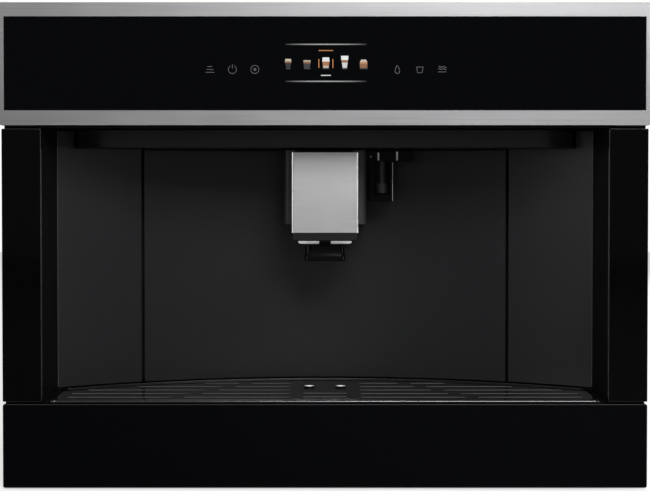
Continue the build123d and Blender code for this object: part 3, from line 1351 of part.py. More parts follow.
with BuildPart() as bean_lid:
    bean_lid_floor = hopper_rim + HOPPER_LIP_HEIGHT + GLASS_FIT
    with BuildSketch(Plane.XY.offset(bean_lid_floor)):
        with Locations((HOPPER_X, hopper_y)):
            RectangleRounded(
                HOPPER_WIDTH + 2 * HOPPER_LIP,
                HOPPER_LENGTH + 2 * HOPPER_LIP,
                TANK_CORNER + HOPPER_LIP,
            )
        span(
            HOPPER_X - HOPPER_WIDTH,
            HOPPER_X + HOPPER_WIDTH,
            hopper_back + LID_PAST_PIN,
            hopper_back + 2 * HOPPER_LIP,
            mode=Mode.SUBTRACT,
        )
    extrude(amount=HOPPER_LID)
    for side in (-1, 1):
        eye_x = HOPPER_X + side * HOPPER_WIDTH / 4
        with BuildSketch(Plane.XY.offset(bean_lid_floor)):
            span(
                eye_x - HOPPER_WALL - GLASS_FIT,
                eye_x + HOPPER_WALL + GLASS_FIT,
                hopper_back - HOPPER_PIN - HOPPER_LIP,
                hopper_back + HOPPER_LIP,
            )
        extrude(amount=HOPPER_LID, mode=Mode.SUBTRACT)
        with BuildSketch(sideways(eye_x - 2 * HOPPER_WALL)):
            with Locations((hopper_back, hopper_hinge_z)):
                Circle(HOPPER_PIN / 2)
        extrude(amount=4 * HOPPER_WALL)
    # grip slot near the front edge
    with BuildSketch(Plane.XY.offset(bean_lid_floor + HOPPER_LID / 2)):
        with Locations((HOPPER_X, hopper_y - HOPPER_LENGTH / 3)):
            SlotOverall(HOPPER_WIDTH / 3, TANK_CORNER)
    extrude(amount=HOPPER_LID, mode=Mode.SUBTRACT)

# ================================================================ grinder
grinder_y = y_at(GRINDER_DEPTH)
motor_floor = UPPER_DECK_Z + DECK_SHEET
grinder_bottom = motor_floor + MOTOR_HEIGHT
burr_floor = grinder_bottom + GRINDER_FLOOR

with BuildPart() as grinder_motor:
    with BuildSketch(Plane.XY.offset(motor_floor)):
        with Locations((GRINDER_X, grinder_y)):
            Circle(MOTOR_RADIUS)
    extrude(amount=MOTOR_HEIGHT)
    with Locations((GRINDER_X, grinder_y, grinder_bottom)):
        Hole(SHAFT_RADIUS + SHAFT_PLAY, depth=MOTOR_HEIGHT / 2)
    chamfer(grinder_motor.faces().sort_by(Axis.Z)[0].edges(), EDGE_BREAK * 2)

with BuildPart() as grinder_housing:
    with BuildSketch(Plane.XY.offset(grinder_bottom)):
        with Locations((GRINDER_X, grinder_y)):
            Circle(GRINDER_RADIUS)
    extrude(amount=hopper_floor - grinder_bottom)
    # chute towards the brew unit
    with BuildSketch(Plane.XY.offset(grinder_bottom)):
        span(GRINDER_X - GRINDER_RADIUS - BREW_ROD, GRINDER_X, grinder_y - NUT_RADIUS, grinder_y + NUT_RADIUS)
    extrude(amount=GRINDER_FLOOR + NUT_RADIUS)
    with BuildSketch(Plane.XY.offset(burr_floor)):
        with Locations((GRINDER_X, grinder_y)):
            Circle(GRINDER_BORE)
    extrude(amount=hopper_floor - burr_floor, mode=Mode.SUBTRACT)
    with Locations((GRINDER_X, grinder_y, burr_floor)):
        Hole(SHAFT_RADIUS + SHAFT_PLAY, depth=GRINDER_FLOOR)

with BuildPart() as grinder_cone:
    with BuildSketch(Plane.XY.offset(burr_floor + GLASS_FIT)):
        with Locations((GRINDER_X, grinder_y)):
            Circle(CONE_BOTTOM_RADIUS)
    with BuildSketch(Plane.XY.offset(burr_floor + GLASS_FIT + CONE_HEIGHT)):
        with Locations((GRINDER_X, grinder_y)):
            Circle(CONE_TOP_RADIUS)
    loft()
    # cutting grooves round the cone
    with BuildSketch(Plane.XY.offset(burr_floor + GLASS_FIT)):
        with Locations((GRINDER_X, grinder_y)):
            with PolarLocations(CONE_BOTTOM_RADIUS, CONE_TEETH):
                Rectangle(2 * HOPPER_LIP, HOPPER_PIN)
    extrude(amount=CONE_HEIGHT, mode=Mode.SUBTRACT)
    with BuildSketch(Plane.XY.offset(grinder_bottom - MOTOR_HEIGHT / 2 + GLASS_FIT)):
        with Locations((GRINDER_X, grinder_y)):
            Circle(SHAFT_RADIUS)
    extrude(amount=MOTOR_HEIGHT / 2 + GRINDER_FLOOR)

with BuildPart() as grind_knob:
    with BuildSketch(Plane.XY.offset(CASE_TOP + GLASS_FIT)):
        with Locations((KNOB_X, y_at(KNOB_DEPTH))):
            Circle(KNOB_RADIUS)
            with PolarLocations(KNOB_RADIUS, 12):
                Circle(EDGE_BREAK, mode=Mode.SUBTRACT)
    extrude(amount=KNOB_HEIGHT)
    with BuildSketch(Plane.XY.offset(CASE_TOP - PORT_LENGTH)):
        with Locations((KNOB_X, y_at(KNOB_DEPTH))):
            Circle(KNOB_SHAFT)
    extrude(amount=PORT_LENGTH + GLASS_FIT)

# ================================================================ brew unit
brew_floor = LOWER_DECK_Z + DECK_SHEET
brew_base = brew_floor + BREW_PLATE
brew_top = brew_floor + BREW_HEIGHT
brew_y = y_at(BREW_DEPTH)
screw_y = y_at(SCREW_DEPTH)
chamber_floor = brew_base + CHAMBER_LIFT

with BuildPart() as brew_frame:
    with BuildSketch(facing(BREW_FRONT)):
        span(-BREW_WIDTH / 2, BREW_WIDTH / 2, brew_floor, brew_top)
        span(
            BREW_PLATE - BREW_WIDTH / 2,
            BREW_WIDTH / 2 - BREW_PLATE,
            brew_base,
            brew_top - BREW_PLATE,
            mode=Mode.SUBTRACT,
        )
    extrude(amount=-(BREW_BACK - BREW_FRONT))
    with BuildSketch(Plane.XY.offset(brew_floor)):
        with Locations((0, brew_y)):
            RectangleRounded(2 * CHAMBER_BORE, 2 * CHAMBER_BORE, BREW_PLATE)
    extrude(amount=BREW_PLATE, mode=Mode.SUBTRACT)
    # guide rods and the fixed upper piston
    with BuildSketch(Plane.XY.offset(brew_base)):
        with Locations((-BREW_ROD_X, brew_y), (BREW_ROD_X, brew_y)):
            Circle(BREW_ROD / 2)
    extrude(amount=BREW_HEIGHT - 2 * BREW_PLATE)
    with BuildSketch(Plane.XY.offset(brew_top - BREW_PLATE - PISTON_LENGTH)):
        with Locations((0, brew_y)):
            Circle(CHAMBER_BORE - PISTON_PLAY)
    extrude(amount=PISTON_LENGTH)
    with BuildSketch(Plane.XY.offset(brew_top - BREW_PLATE)):
        with Locations((0, screw_y)):
            Circle(SCREW_RADIUS + SHAFT_PLAY)
    extrude(amount=BREW_PLATE, mode=Mode.SUBTRACT)

with BuildPart() as brew_chamber:
    with BuildSketch(Plane.XY.offset(chamber_floor)):
        with Locations((0, brew_y)):
            Circle(CHAMBER_RADIUS)
    extrude(amount=CHAMBER_HEIGHT)
    # arms to the guide rods and to the nut
    with BuildSketch(Plane.XY.offset(chamber_floor)):
        with Locations((0, brew_y)):
            SlotOverall(2 * (BREW_ROD_X + CHAMBER_LUG - GLASS_FIT), 2 * CHAMBER_LUG)
        span(-CHAMBER_LUG, CHAMBER_LUG, brew_y, screw_y)
        with Locations((0, screw_y)):
            Circle(NUT_RADIUS)
    extrude(amount=2 * CHAMBER_LUG)
    with BuildSketch(Plane.XY.offset(chamber_floor)):
        with Locations((-BREW_ROD_X, brew_y), (BREW_ROD_X, brew_y)):
            Circle(BREW_ROD / 2 + SHAFT_PLAY)
        with Locations((0, screw_y)):
            Circle(SCREW_RADIUS + SHAFT_PLAY)
    extrude(amount=2 * CHAMBER_LUG, mode=Mode.SUBTRACT)
    with BuildSketch(Plane.XY.offset(chamber_floor + BREW_PLATE)):
        with Locations((0, brew_y)):
            Circle(CHAMBER_BORE)
    extrude(amount=CHAMBER_HEIGHT, mode=Mode.SUBTRACT)

gearbox_top = brew_base + GEARBOX_HEIGHT

with BuildPart() as brew_motor:
    with BuildSketch(Plane.XY.offset(brew_base)):
        with Locations((0, screw_y)):
            RectangleRounded(2 * BREW_MOTOR_RADIUS, 2 * BREW_MOTOR_RADIUS, BREW_PLATE)
    extrude(amount=GEARBOX_HEIGHT)
    with Locations((0, screw_y, gearbox_top)):
        Hole(SCREW_RADIUS + SHAFT_PLAY, depth=GEARBOX_HEIGHT - BREW_PLATE)
    with BuildSketch(facing(SCREW_DEPTH + BREW_MOTOR_RADIUS)):
        with Locations((0, brew_base + BREW_MOTOR_RADIUS)):
            Circle(BREW_MOTOR_RADIUS)
    extrude(amount=-BREW_MOTOR_LENGTH)

with BuildPart() as brew_lead_screw:
    with BuildSketch(Plane.XY.offset(brew_base + BREW_PLATE + GLASS_FIT)):
        with Locations((0, screw_y)):
            Circle(SCREW_RADIUS)
    extrude(amount=brew_top - brew_base - BREW_PLATE - GLASS_FIT)

# ================================================================ boiler, pump and hoses
boiler_y = y_at(BOILER_DEPTH)
boiler_bottom = brew_floor + BOILER_LIFT
boiler_middle = boiler_bottom + BOILER_HEIGHT / 2
boiler_front = BOILER_DEPTH - BOILER_LENGTH / 2

with BuildPart() as boiler:
    with BuildSketch(Plane.XY.offset(boiler_bottom)):
        with Locations((BOILER_X, boiler_y)):
            RectangleRounded(BOILER_WIDTH, BOILER_LENGTH, TANK_CORNER)
    extrude(amount=BOILER_HEIGHT)
    # cooling grooves of the casting
    with BuildSketch(Plane.XY.offset(boiler_bottom + BOILER_HEIGHT - STAND_RIM)):
        with Locations((BOILER_X, boiler_y)):
            with GridLocations(VENT_PITCH, 0, 6, 1):
                Rectangle(VENT_WIDTH, BOILER_LENGTH)
    extrude(amount=STAND_RIM, mode=Mode.SUBTRACT)
    with BuildSketch(Plane.XY.offset(brew_floor)):
        with Locations((BOILER_X, boiler_y)):
            with GridLocations(BOILER_WIDTH - 2 * TANK_CORNER, BOILER_LENGTH - 2 * TANK_CORNER, 2, 2):
                Circle(TANK_CORNER / 2)
    extrude(amount=BOILER_LIFT)
    with BuildSketch(facing(boiler_front)):
        with Locations((BOILER_X, boiler_middle)):
            Circle(PORT_RADIUS)
    extrude(amount=PORT_LENGTH)
    with BuildSketch(sideways(BOILER_X - BOILER_WIDTH / 2)):
        with Locations((boiler_y, boiler_middle)):
            Circle(PORT_RADIUS)
    extrude(amount=-PORT_LENGTH)

with BuildPart() as water_pump:
    with BuildSketch(facing(PUMP_FRONT)):
        with Locations((PUMP_X, PUMP_Z)):
            Circle(PUMP_RADIUS)
    extrude(amount=-PUMP_LENGTH)
    with BuildSketch(facing(PUMP_FRONT - PORT_LENGTH)):
        with Locations((PUMP_X, PUMP_Z)):
            Circle(PORT_RADIUS)
    extrude(amount=-(PUMP_LENGTH + 2 * PORT_LENGTH))
    # two saddles down to the base
    saddle_front = PUMP_FRONT + 2 * PORT_LENGTH
    for saddle in (saddle_front, PUMP_FRONT + PUMP_LENGTH - 3 * PORT_LENGTH):
        with BuildSketch(facing(saddle)):
            span(PUMP_X - PUMP_RADIUS, PUMP_X + PUMP_RADIUS, PAN_TOP, PUMP_Z)
            with Locations((PUMP_X, PUMP_Z)):
                Circle(PUMP_RADIUS - SADDLE_BITE, mode=Mode.SUBTRACT)
        extrude(amount=-PORT_LENGTH)


def route_radii(points):
    """Bend radius at each inner point: 0.45 of the shorter run beside it over the tangent of half the turn."""
    radii = []
    for before, here, after in zip(points, points[1:], points[2:]):
        arriving = Vector(*here) - Vector(*before)
        leaving = Vector(*after) - Vector(*here)
        turn = math.radians(arriving.get_angle(leaving))
        radii.append(0.45 * min(arriving.length, leaving.length) / math.tan(turn / 2))
    return radii


# The routes' points are chosen by hand, from port to port.
tank_port_z = port_z - STAND_RIM
downpipe_y = y_at(DOWNPIPE_DEPTH)
riser_y = y_at(RISER_DEPTH)
suction_route = (
    (TANK_X + TANK_WIDTH / 2 + PORT_LENGTH, tank_y, tank_port_z),
    (TANK_X + TANK_WIDTH / 2 + HOSE_LEAD, tank_y, tank_port_z),
    (TANK_X + TANK_WIDTH / 2 + HOSE_SWEEP, tank_y + HOSE_SAG, tank_port_z - HOSE_DIP),
    (HOSE_CROSSING_X, downpipe_y - HOSE_SHIFT, tank_port_z - HOSE_SAG),
    (DOWNPIPE_X - HOSE_SIDE, downpipe_y, LOWER_DECK_Z + HOSE_RISE),
    (DOWNPIPE_X, downpipe_y, LOWER_DECK_Z + HOSE_STEP),
    (DOWNPIPE_X, downpipe_y, LOWER_DECK_Z - HOSE_STEP),
    (DOWNPIPE_X + HOSE_STEP, downpipe_y, PUMP_Z + HOSE_LIFT),
    (PUMP_X - HOSE_SIDE, downpipe_y, PUMP_Z + HOSE_CREST),
    (PUMP_X, y_at(PUMP_FRONT + PUMP_LENGTH + PORT_LENGTH) + HOSE_SIDE, PUMP_Z),
    (PUMP_X, y_at(PUMP_FRONT + PUMP_LENGTH + PORT_LENGTH), PUMP_Z),
)
pressure_route = (
    (PUMP_X, y_at(PUMP_FRONT - PORT_LENGTH), PUMP_Z),
    (BOILER_X, riser_y, PUMP_Z),
    (BOILER_X, riser_y, boiler_middle),
    (BOILER_X, y_at(boiler_front - PORT_LENGTH), boiler_middle),
)
brew_route = (
    (BOILER_X - BOILER_WIDTH / 2 - PORT_LENGTH, boiler_y, boiler_middle),
    (BOILER_X - BOILER_WIDTH / 2 - BREW_LEAD, boiler_y, boiler_middle),
    (BREW_WIDTH / 2 + BREW_ARCH_OUT, boiler_y - BREW_ARCH_BACK, boiler_middle + HOSE_LEAD),
    (BREW_WIDTH / 2 + BREW_LEAD, brew_y + HOSE_LIFT, brew_top - BREW_LEAD),
    (BREW_WIDTH / 2 + BREW_END, brew_y, brew_top - BREW_PLATE / 2),
    (BREW_WIDTH / 2, brew_y, brew_top - BREW_PLATE / 2),
)

with BuildPart() as water_hoses:
    for route in (suction_route, pressure_route, brew_route):
        radii = route_radii(route)
        with BuildLine() as path:
            FilletPolyline(*route, radius=radii)
        with BuildSketch(Plane(origin=path.line @ 0, z_dir=path.line % 0)):
            Circle(HOSE_RADIUS)
        sweep(path=path.line)

# ================================================================ electrics
socket_middle = INLET_Z - INLET_HEIGHT / 4
rocker_middle = INLET_Z + INLET_HEIGHT / 4
inlet_face = REAR_OUTER + REAR_SHEET

with BuildPart() as power_inlet:
    # flange outside the rear panel and body through it
    with BuildSketch(facing(REAR_OUTER)):
        with Locations((INLET_X, INLET_Z)):
            RectangleRounded(
                INLET_WIDTH + 2 * INLET_FLANGE,
                INLET_HEIGHT + 2 * INLET_FLANGE,
                INLET_FLANGE,
            )
    extrude(amount=-REAR_SHEET)
    with BuildSketch(facing(REAR_OUTER)):
        with Locations((INLET_X, INLET_Z)):
            Rectangle(INLET_WIDTH - 2 * ROCKER_FIT, INLET_HEIGHT - 2 * ROCKER_FIT)
    extrude(amount=INLET_BODY)
    # socket with three blades
    with BuildSketch(facing(inlet_face)) as socket_outline:
        with Locations((INLET_X, socket_middle)):
            Rectangle(SOCKET_WIDTH, SOCKET_HEIGHT)
        chamfer(socket_outline.vertices().group_by(Axis.Y)[-1], INLET_FLANGE)
    extrude(amount=SOCKET_DEPTH, mode=Mode.SUBTRACT)
    with BuildSketch(facing(inlet_face - HOPPER_PIN)):
        with Locations(
            (INLET_X - BLADE_SPACING, socket_middle - BLADE_WIDTH),
            (INLET_X, socket_middle + EARTH_RAISE),
            (INLET_X + BLADE_SPACING, socket_middle - BLADE_WIDTH),
        ):
            Rectangle(BLADE_WIDTH, BLADE_HEIGHT)
    extrude(amount=SOCKET_DEPTH - HOPPER_PIN)
    # well of the rocker
    with BuildSketch(facing(inlet_face)):
        with Locations((INLET_X, rocker_middle)):
            Rectangle(ROCKER_WIDTH + 2 * ROCKER_FIT, ROCKER_HEIGHT + 6 * ROCKER_FIT)
    extrude(amount=ROCKER_SINK + ROCKER_BACK + 4 * ROCKER_FIT, mode=Mode.SUBTRACT)
    with BuildSketch(sideways(INLET_X - ROCKER_WIDTH / 2 - HOPPER_PIN)):
        with Locations((y_at(inlet_face - ROCKER_SINK), rocker_middle)):
            Circle(ROCKER_PIN / 2 + SHAFT_PLAY)
    extrude(amount=ROCKER_WIDTH + 2 * HOPPER_PIN, mode=Mode.SUBTRACT)



def rocker_plane(x):
    """Plane across the rocker at this x, with its origin on the pivot and its x through the face."""
    tilt = math.radians(ROCKER_TILT)
    return Plane(
        origin=(x, y_at(inlet_face - ROCKER_SINK), rocker_middle),
        x_dir=(0, math.cos(tilt), math.sin(tilt)),
        z_dir=(1, 0, 0),
    )


with BuildPart() as main_switch:
    with BuildSketch(rocker_plane(INLET_X - ROCKER_WIDTH / 2)):
        with BuildLine():
            Polyline(
                (ROCKER_FACE, -ROCKER_HEIGHT / 2),
                (-ROCKER_BACK, -ROCKER_HEIGHT / 3),
                (-ROCKER_BACK, ROCKER_HEIGHT / 3),
                (ROCKER_FACE, ROCKER_HEIGHT / 2),
            )
            ThreePointArc(
                (ROCKER_FACE, ROCKER_HEIGHT / 2),
                (ROCKER_FACE - 1, 0),
                (ROCKER_FACE, -ROCKER_HEIGHT / 2),
            )
        make_face()
    extrude(amount=ROCKER_WIDTH)
    with BuildSketch(rocker_plane(INLET_X - ROCKER_WIDTH / 2 - ROCKER_PIN / 2)):
        Circle(ROCKER_PIN / 2)
    extrude(amount=ROCKER_WIDTH + ROCKER_PIN)

board_plane = CASE_FRONT + BOARD_STANDOFF
panel_middle = (PANEL_BOTTOM + FRAME_BOTTOM_BAR + PANEL_TOP - FRAME_TOP_BAR) / 2

with BuildPart() as control_board:
    with BuildSketch(facing(board_plane)):
        with Locations((0, panel_middle)):
            Rectangle(BOARD_WIDTH, BOARD_HEIGHT)
    extrude(amount=-BOARD_SHEET)
    # spacers to the cross plate
    with BuildSketch(facing(CASE_FRONT)):
        with Locations((0, panel_middle)):
            with GridLocations(BOARD_WIDTH - VENT_PITCH, BOARD_HEIGHT - VENT_PITCH, 2, 2):
                Circle(PORT_RADIUS)
    extrude(amount=-BOARD_STANDOFF)
    # relays and a transformer on the back
    with BuildSketch(facing(board_plane + BOARD_SHEET)):
        with Locations((-BOARD_WIDTH / 3, panel_middle)):
            Rectangle(BOARD_HEIGHT / 2, BOARD_HEIGHT / 2)
    extrude(amount=-BOARD_HEIGHT / 3)
    with BuildSketch(facing(board_plane + BOARD_SHEET)):
        with Locations((BOARD_WIDTH / 8, panel_middle)):
            with GridLocations(2 * VENT_PITCH, 0, 4, 1):
                Rectangle(VENT_PITCH, BOARD_HEIGHT / 3)
    extrude(amount=-VENT_PITCH)

with BuildPart() as display_module:
    with BuildSketch(facing(glass_back)):
        with Locations((0, panel_middle)):
            RectangleRounded(DISPLAY_WIDTH, DISPLAY_HEIGHT, EDGE_BREAK)
    extrude(amount=-DISPLAY_DEPTH)

with BuildPart() as case_screws:
    with BuildSketch(facing(REAR_OUTER)):
        with Locations((0, (FOOT_HEIGHT + CASE_TOP) / 2)):
            with GridLocations(
                2 * (CASE_HALF - 2 * REAR_RIM_WIDTH),
                (CASE_TOP - FOOT_HEIGHT) / 2 - 2 * REAR_RIM_WIDTH,
                2,
                3,
            ):
                Circle(SCREW_HEAD_RADIUS)
    extrude(amount=-SCREW_HEAD_HEIGHT)

# ================================================================ files, one for each sub-part
sub_parts = {
    "cabinet_rail_left": cabinet_rail_left,
    "cabinet_rail_right": cabinet_rail_right,
    "middle_rail_left": middle_rail_left,
    "middle_rail_right": middle_rail_right,
    "machine_rail_left": machine_rail_left,
    "machine_rail_right": machine_rail_right,
    "outer_ball_cages": outer_ball_cages,
    "inner_ball_cages": inner_ball_cages,
    "base_pan": base_pan,
    "base_feet": base_feet,
    "side_panel_left": side_panel_left,
    "side_panel_right": side_panel_right,
    "rear_panel": rear_panel,
    "top_panel": top_panel,
    "front_frame": front_frame,
    "lower_deck": lower_deck,
    "upper_deck": upper_deck,
    "control_frame": control_frame,
    "control_glass": control_glass,
    "column_glass_left": column_glass_left,
    "column_glass_right": column_glass_right,
    "niche_liner_left": niche_liner_left,
    "niche_liner_right": niche_liner_right,
    "ceiling_block": ceiling_block,
    "niche_lamps": niche_lamps,
    "door_frame": door_frame,
    "hinge_brackets": hinge_brackets,
    "door_panel": door_panel,
    "spout_guide": spout_guide,
    "spout_cover": spout_cover,
    "spout_body": spout_body,
    "spout_outlets": spout_outlets,
    "nozzle_holder": nozzle_holder,
    "steam_nozzle": steam_nozzle,
    "drawer_fascia": drawer_fascia,
    "drip_basin": drip_basin,
    "drip_grid": drip_grid,
    "grounds_container": grounds_container,
    "water_tank": water_tank,
    "tank_lid": tank_lid,
    "tank_stand": tank_stand,
    "bean_hopper": bean_hopper,
    "bean_lid": bean_lid,
    "grind_knob": grind_knob,
    "grinder_housing": grinder_housing,
    "grinder_cone": grinder_cone,
    "grinder_motor": grinder_motor,
    "brew_frame": brew_frame,
    "brew_chamber": brew_chamber,
    "brew_lead_screw": brew_lead_screw,
    "brew_motor": brew_motor,
    "boiler": boiler,
    "water_pump": water_pump,
    "water_hoses": water_hoses,
    "power_inlet": power_inlet,
    "main_switch": main_switch,
    "control_board": control_board,
    "display_module": display_module,
    "case_screws": case_screws,
}

os.makedirs("parts", exist_ok=True)
for name, piece in sub_parts.items():
    piece.part.label = name
    export_step(piece.part, f"parts/{name}.step")
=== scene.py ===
import json
import math
import bpy
import numpy as np
from bpy.props import FloatProperty, FloatVectorProperty, IntProperty, PointerProperty
from bpy.types import Operator, Panel, PropertyGroup
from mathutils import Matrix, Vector


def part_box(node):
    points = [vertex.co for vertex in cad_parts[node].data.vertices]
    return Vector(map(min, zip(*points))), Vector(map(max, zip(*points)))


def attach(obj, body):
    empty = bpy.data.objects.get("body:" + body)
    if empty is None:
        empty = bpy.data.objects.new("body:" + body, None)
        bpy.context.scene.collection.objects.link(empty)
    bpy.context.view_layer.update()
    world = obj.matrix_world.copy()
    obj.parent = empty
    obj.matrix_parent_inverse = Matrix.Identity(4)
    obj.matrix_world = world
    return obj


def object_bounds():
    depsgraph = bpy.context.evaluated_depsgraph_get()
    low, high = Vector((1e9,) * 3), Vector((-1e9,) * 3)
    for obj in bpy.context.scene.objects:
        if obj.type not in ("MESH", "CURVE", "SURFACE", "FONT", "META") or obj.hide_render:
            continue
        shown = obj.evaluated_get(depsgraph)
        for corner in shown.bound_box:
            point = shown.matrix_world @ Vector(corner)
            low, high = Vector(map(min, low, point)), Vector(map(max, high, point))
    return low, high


bl_info = {
    "name": "Built-in coffee machine",
    "version": (1, 0, 0),
    "blender": (4, 5, 0),
    "location": "3D View > Sidebar > Coffee machine",
    "description": "Dresses the coffee machine's solids with finishes, display marks and fine trim",
    "category": "Object",
}

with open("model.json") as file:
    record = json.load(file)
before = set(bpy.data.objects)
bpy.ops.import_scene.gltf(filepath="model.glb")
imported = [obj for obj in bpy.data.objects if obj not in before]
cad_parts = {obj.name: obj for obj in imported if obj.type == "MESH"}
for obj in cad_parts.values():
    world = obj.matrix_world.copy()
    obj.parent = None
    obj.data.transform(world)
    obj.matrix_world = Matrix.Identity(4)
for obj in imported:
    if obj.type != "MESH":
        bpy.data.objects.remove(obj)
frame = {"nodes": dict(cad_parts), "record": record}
CAD_BOX = [list(corner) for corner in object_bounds()]
FRONT = CAD_BOX[0][1]
NODES = frame["nodes"]
SLOTS = {part["node"]: part["material_slot"] for part in frame["record"]["subparts"]}
MM = 0.001
PRINT_GAP = 0.02 * MM  # marks in front of the control glass
KEY_DROP = 6.0 * MM  # touch keys below the display's middle
FIRST_KEYS = (-64.0 * MM, 66.0 * MM)  # the nearest touch key on each side of the display
OUTLET_X = 15.3 * MM  # outlets and drain holes from the middle
DRAIN_DEPTH = 88.0 * MM  # drain holes behind the front plane
HEAD_HALF_WIDTH = 19.0 * MM
HEAD_HALF_DEPTH = 14.3 * MM
PAD_RISE = 0.4 * MM  # cup pad above the rest of the drip grid

# slots of the drip grid in millimetres, depths counted from the front plane
FIRST_ROW = 26.4
ROW_PITCH = 22.0
SLOT_WIDTH = 4.5
PAD_HALF = 34.0  # the slots beside the cup pad start here
PAD_SLOT = 41.0  # length of the two slots in the pad
RIB_X = 138.0  # rib between the two slots of each half row, at the first row
RIB_LEAN = 0.667  # its way inwards for each millimetre of depth
RIB_HALF = 6.0
SLOT_END = 241.0  # no slot reaches further from the middle
ARC_CENTRE = 340.0  # centre of the niche wall's arc, in front of the front plane
SLOT_ARC = 470.0  # radius that ends the rear slots
EDGE_ARC = 487.2  # radius of the grid's back edge


# ---------------------------------------------------------------- sizes and colours that a user would change
def length(label, about, default):
    return FloatProperty(
        name=label, description=about, default=default, unit="LENGTH", subtype="DISTANCE", precision=5
    )


def amount(label, about, default):
    return FloatProperty(name=label, description=about, default=default, min=0)


def tint(label, about, default):
    return FloatVectorProperty(
        name=label, description=about, default=default, size=3, subtype="COLOR", min=0, max=1
    )


class CoffeeColours(PropertyGroup):
    steel: tint("Steel", "Brushed stainless sheet", (0.54, 0.54, 0.55))
    glass: tint("Black glass", "Glass printed black on its back", (0.0012, 0.0014, 0.0020))
    niche: tint("Niche panels", "Gloss black panels round the cups", (0.0145, 0.015, 0.0165))
    moulded: tint("Moulded parts", "Fine grained black plastic", (0.006, 0.006, 0.0066))
    key_print: tint("Key print", "Grey print of the touch keys", (0.085, 0.085, 0.088))
    lit_white: tint("Lit white", "White of the display", (0.42, 0.43, 0.42))
    lit_orange: tint("Lit orange", "Accent colour of the display", (0.30, 0.115, 0.03))


class CoffeeDisplay(PropertyGroup):
    middle_x: length("Middle across", "Middle of the display, from the machine's middle", 0.0008)
    middle_z: length("Middle height", "Middle of the display above the floor", 0.3903)
    rule_length: length("Rule length", "Length of the fading line above and below the drinks", 0.074)
    rule_gap: length("Rule spacing", "Distance between the two fading lines", 0.0337)
    drink_pitch: length("Drink pitch", "Distance between the drinks", 0.0172)
    drink_count: IntProperty(name="Drinks", description="Number of drinks shown", default=5, min=3, max=7)
    key_pitch: length("Key pitch", "Distance between touch keys", 0.0205)
    key_size: length("Key size", "Height of a touch key's mark", 0.0074)
    key_stroke: length("Key stroke", "Line width of a touch key's mark", 0.0006)


class CoffeeTrim(PropertyGroup):
    edge_bead: length("Glass edge", "Radius of the bead along the glass edges", 0.00035)
    # the bead takes a light grey finish, a painted highlight of the slots' lit far walls
    slot_bead: length("Slot edge", "Radius of the rolled far edge of the grid's slots", 0.00042)
    slot_rows: IntProperty(
        name="Slot rows", description="Rows of slots in the drip grid", default=5, min=1, max=5
    )
    screw_radius: length("Screw head", "Radius of the screw heads on the back", 0.0035)
    grid_top: length("Grid height", "Top of the drip grid above the floor", 0.0799)


class CoffeeStudio(PropertyGroup):
    distance: length("Distance", "Camera to the front plane", 1.25)
    eye: length("Eye height", "Camera above the floor", 0.2828)
    lens: FloatProperty(name="Lens", description="Focal length in millimetres", default=75.8, min=20, max=200)
    down: FloatProperty(
        name="Tilt down", description="Camera tilt", default=math.radians(1.2), subtype="ANGLE"
    )
    shift: FloatProperty(name="Shift", description="Vertical shift, in picture widths", default=-0.0555)
    key_power: amount("Key lamp", "Power of the key lamp in watts", 27)
    fill_power: amount("Fill lamp", "Power of the fill lamp in watts", 1.6)
    low_power: amount("Low lamp", "Power of the low lamp in watts", 0.05)
    side_power: amount("Side lamps", "Power of each side lamp in watts", 9.0)
    rear_power: amount("Rear lamp", "Power of the rear lamp in watts", 14)
    floor_glow: amount("Floor glow", "Light added to the floor for the camera", 0.55)
    room: FloatProperty(name="Room", description="Level of the room's light", default=0.11, min=0, max=1)


# ---------------------------------------------------------------- surfaces
def settings(name):
    """The values of one group of the scene's settings."""
    return getattr(bpy.context.scene, name)


def mesh_piece(name, parts, finish, body):
    """A piece from (points, faces) pairs, with a finish, which rides on a body and has a material slot."""
    points, faces = joined(parts)
    mesh = bpy.data.meshes.new(name)
    mesh.from_pydata(points.tolist(), [], faces)
    mesh.validate()
    mesh.polygons.foreach_set("use_smooth", np.ones(len(mesh.polygons), bool))
    piece = bpy.data.objects.new(name, mesh)
    bpy.context.collection.objects.link(piece)
    mesh.materials.append(FINISHES[finish])
    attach(piece, body)
    return piece


def grid_faces(rows, columns, wrap_rows=False, wrap_columns=False):
    """Quads of a grid of points: each joins a point, its right neighbour and the two above them."""
    row = np.arange(rows if wrap_rows else rows - 1)[:, None]
    column = np.arange(columns if wrap_columns else columns - 1)[None, :]
    up = (row + 1) % rows
    right = (column + 1) % columns
    corners = (row * columns + column, row * columns + right, up * columns + right, up * columns + column)
    return np.stack(np.broadcast_arrays(*corners), -1).reshape(-1, 4)


def joined(parts):
    """Several (points, faces) pairs as one pair: faces are numbered on from the points before them.
    Faces are an array, or a tuple of arrays where a piece has both quads and triangles."""
    points = []
    faces = []
    start = 0
    for part_points, part_faces in parts:
        points.append(np.asarray(part_points, float).reshape(-1, 3))
        blocks = part_faces if isinstance(part_faces, tuple) else (part_faces,)
        for block in blocks:
            faces += (np.asarray(block) + start).tolist()
        start += len(points[-1])
    return np.concatenate(points), faces


def path_of(x, y, z):
    """Points from their coordinates; a coordinate that stays the same is given once."""
    return np.stack(np.broadcast_arrays(x, y, z), -1)


def flat_stroke(path, width, y):
    """A ribbon on the plane at y: the path's points moved half the width to either side of its direction."""
    path = np.asarray(path, float)
    way = np.gradient(path, axis=0)
    way /= np.linalg.norm(way, axis=1, keepdims=True) + 1e-12
    side = np.stack([-way[:, 1], way[:, 0]], 1) * width / 2
    rows = []
    for edge in (path + side, path - side):
        rows.append(path_of(edge[:, 0], y, edge[:, 1]))
    points = np.stack(rows)
    return points.reshape(-1, 3), grid_faces(2, len(path))[:, ::-1]


def ring_path(x, z, radius, start=0.0, turn=2 * math.pi, steps=40):
    """Points of an arc: centre plus radius times the cosine and sine of an evenly growing angle."""
    angle = start + np.linspace(0, turn, steps)
    return np.stack([x + radius * np.cos(angle), z + radius * np.sin(angle)], 1)


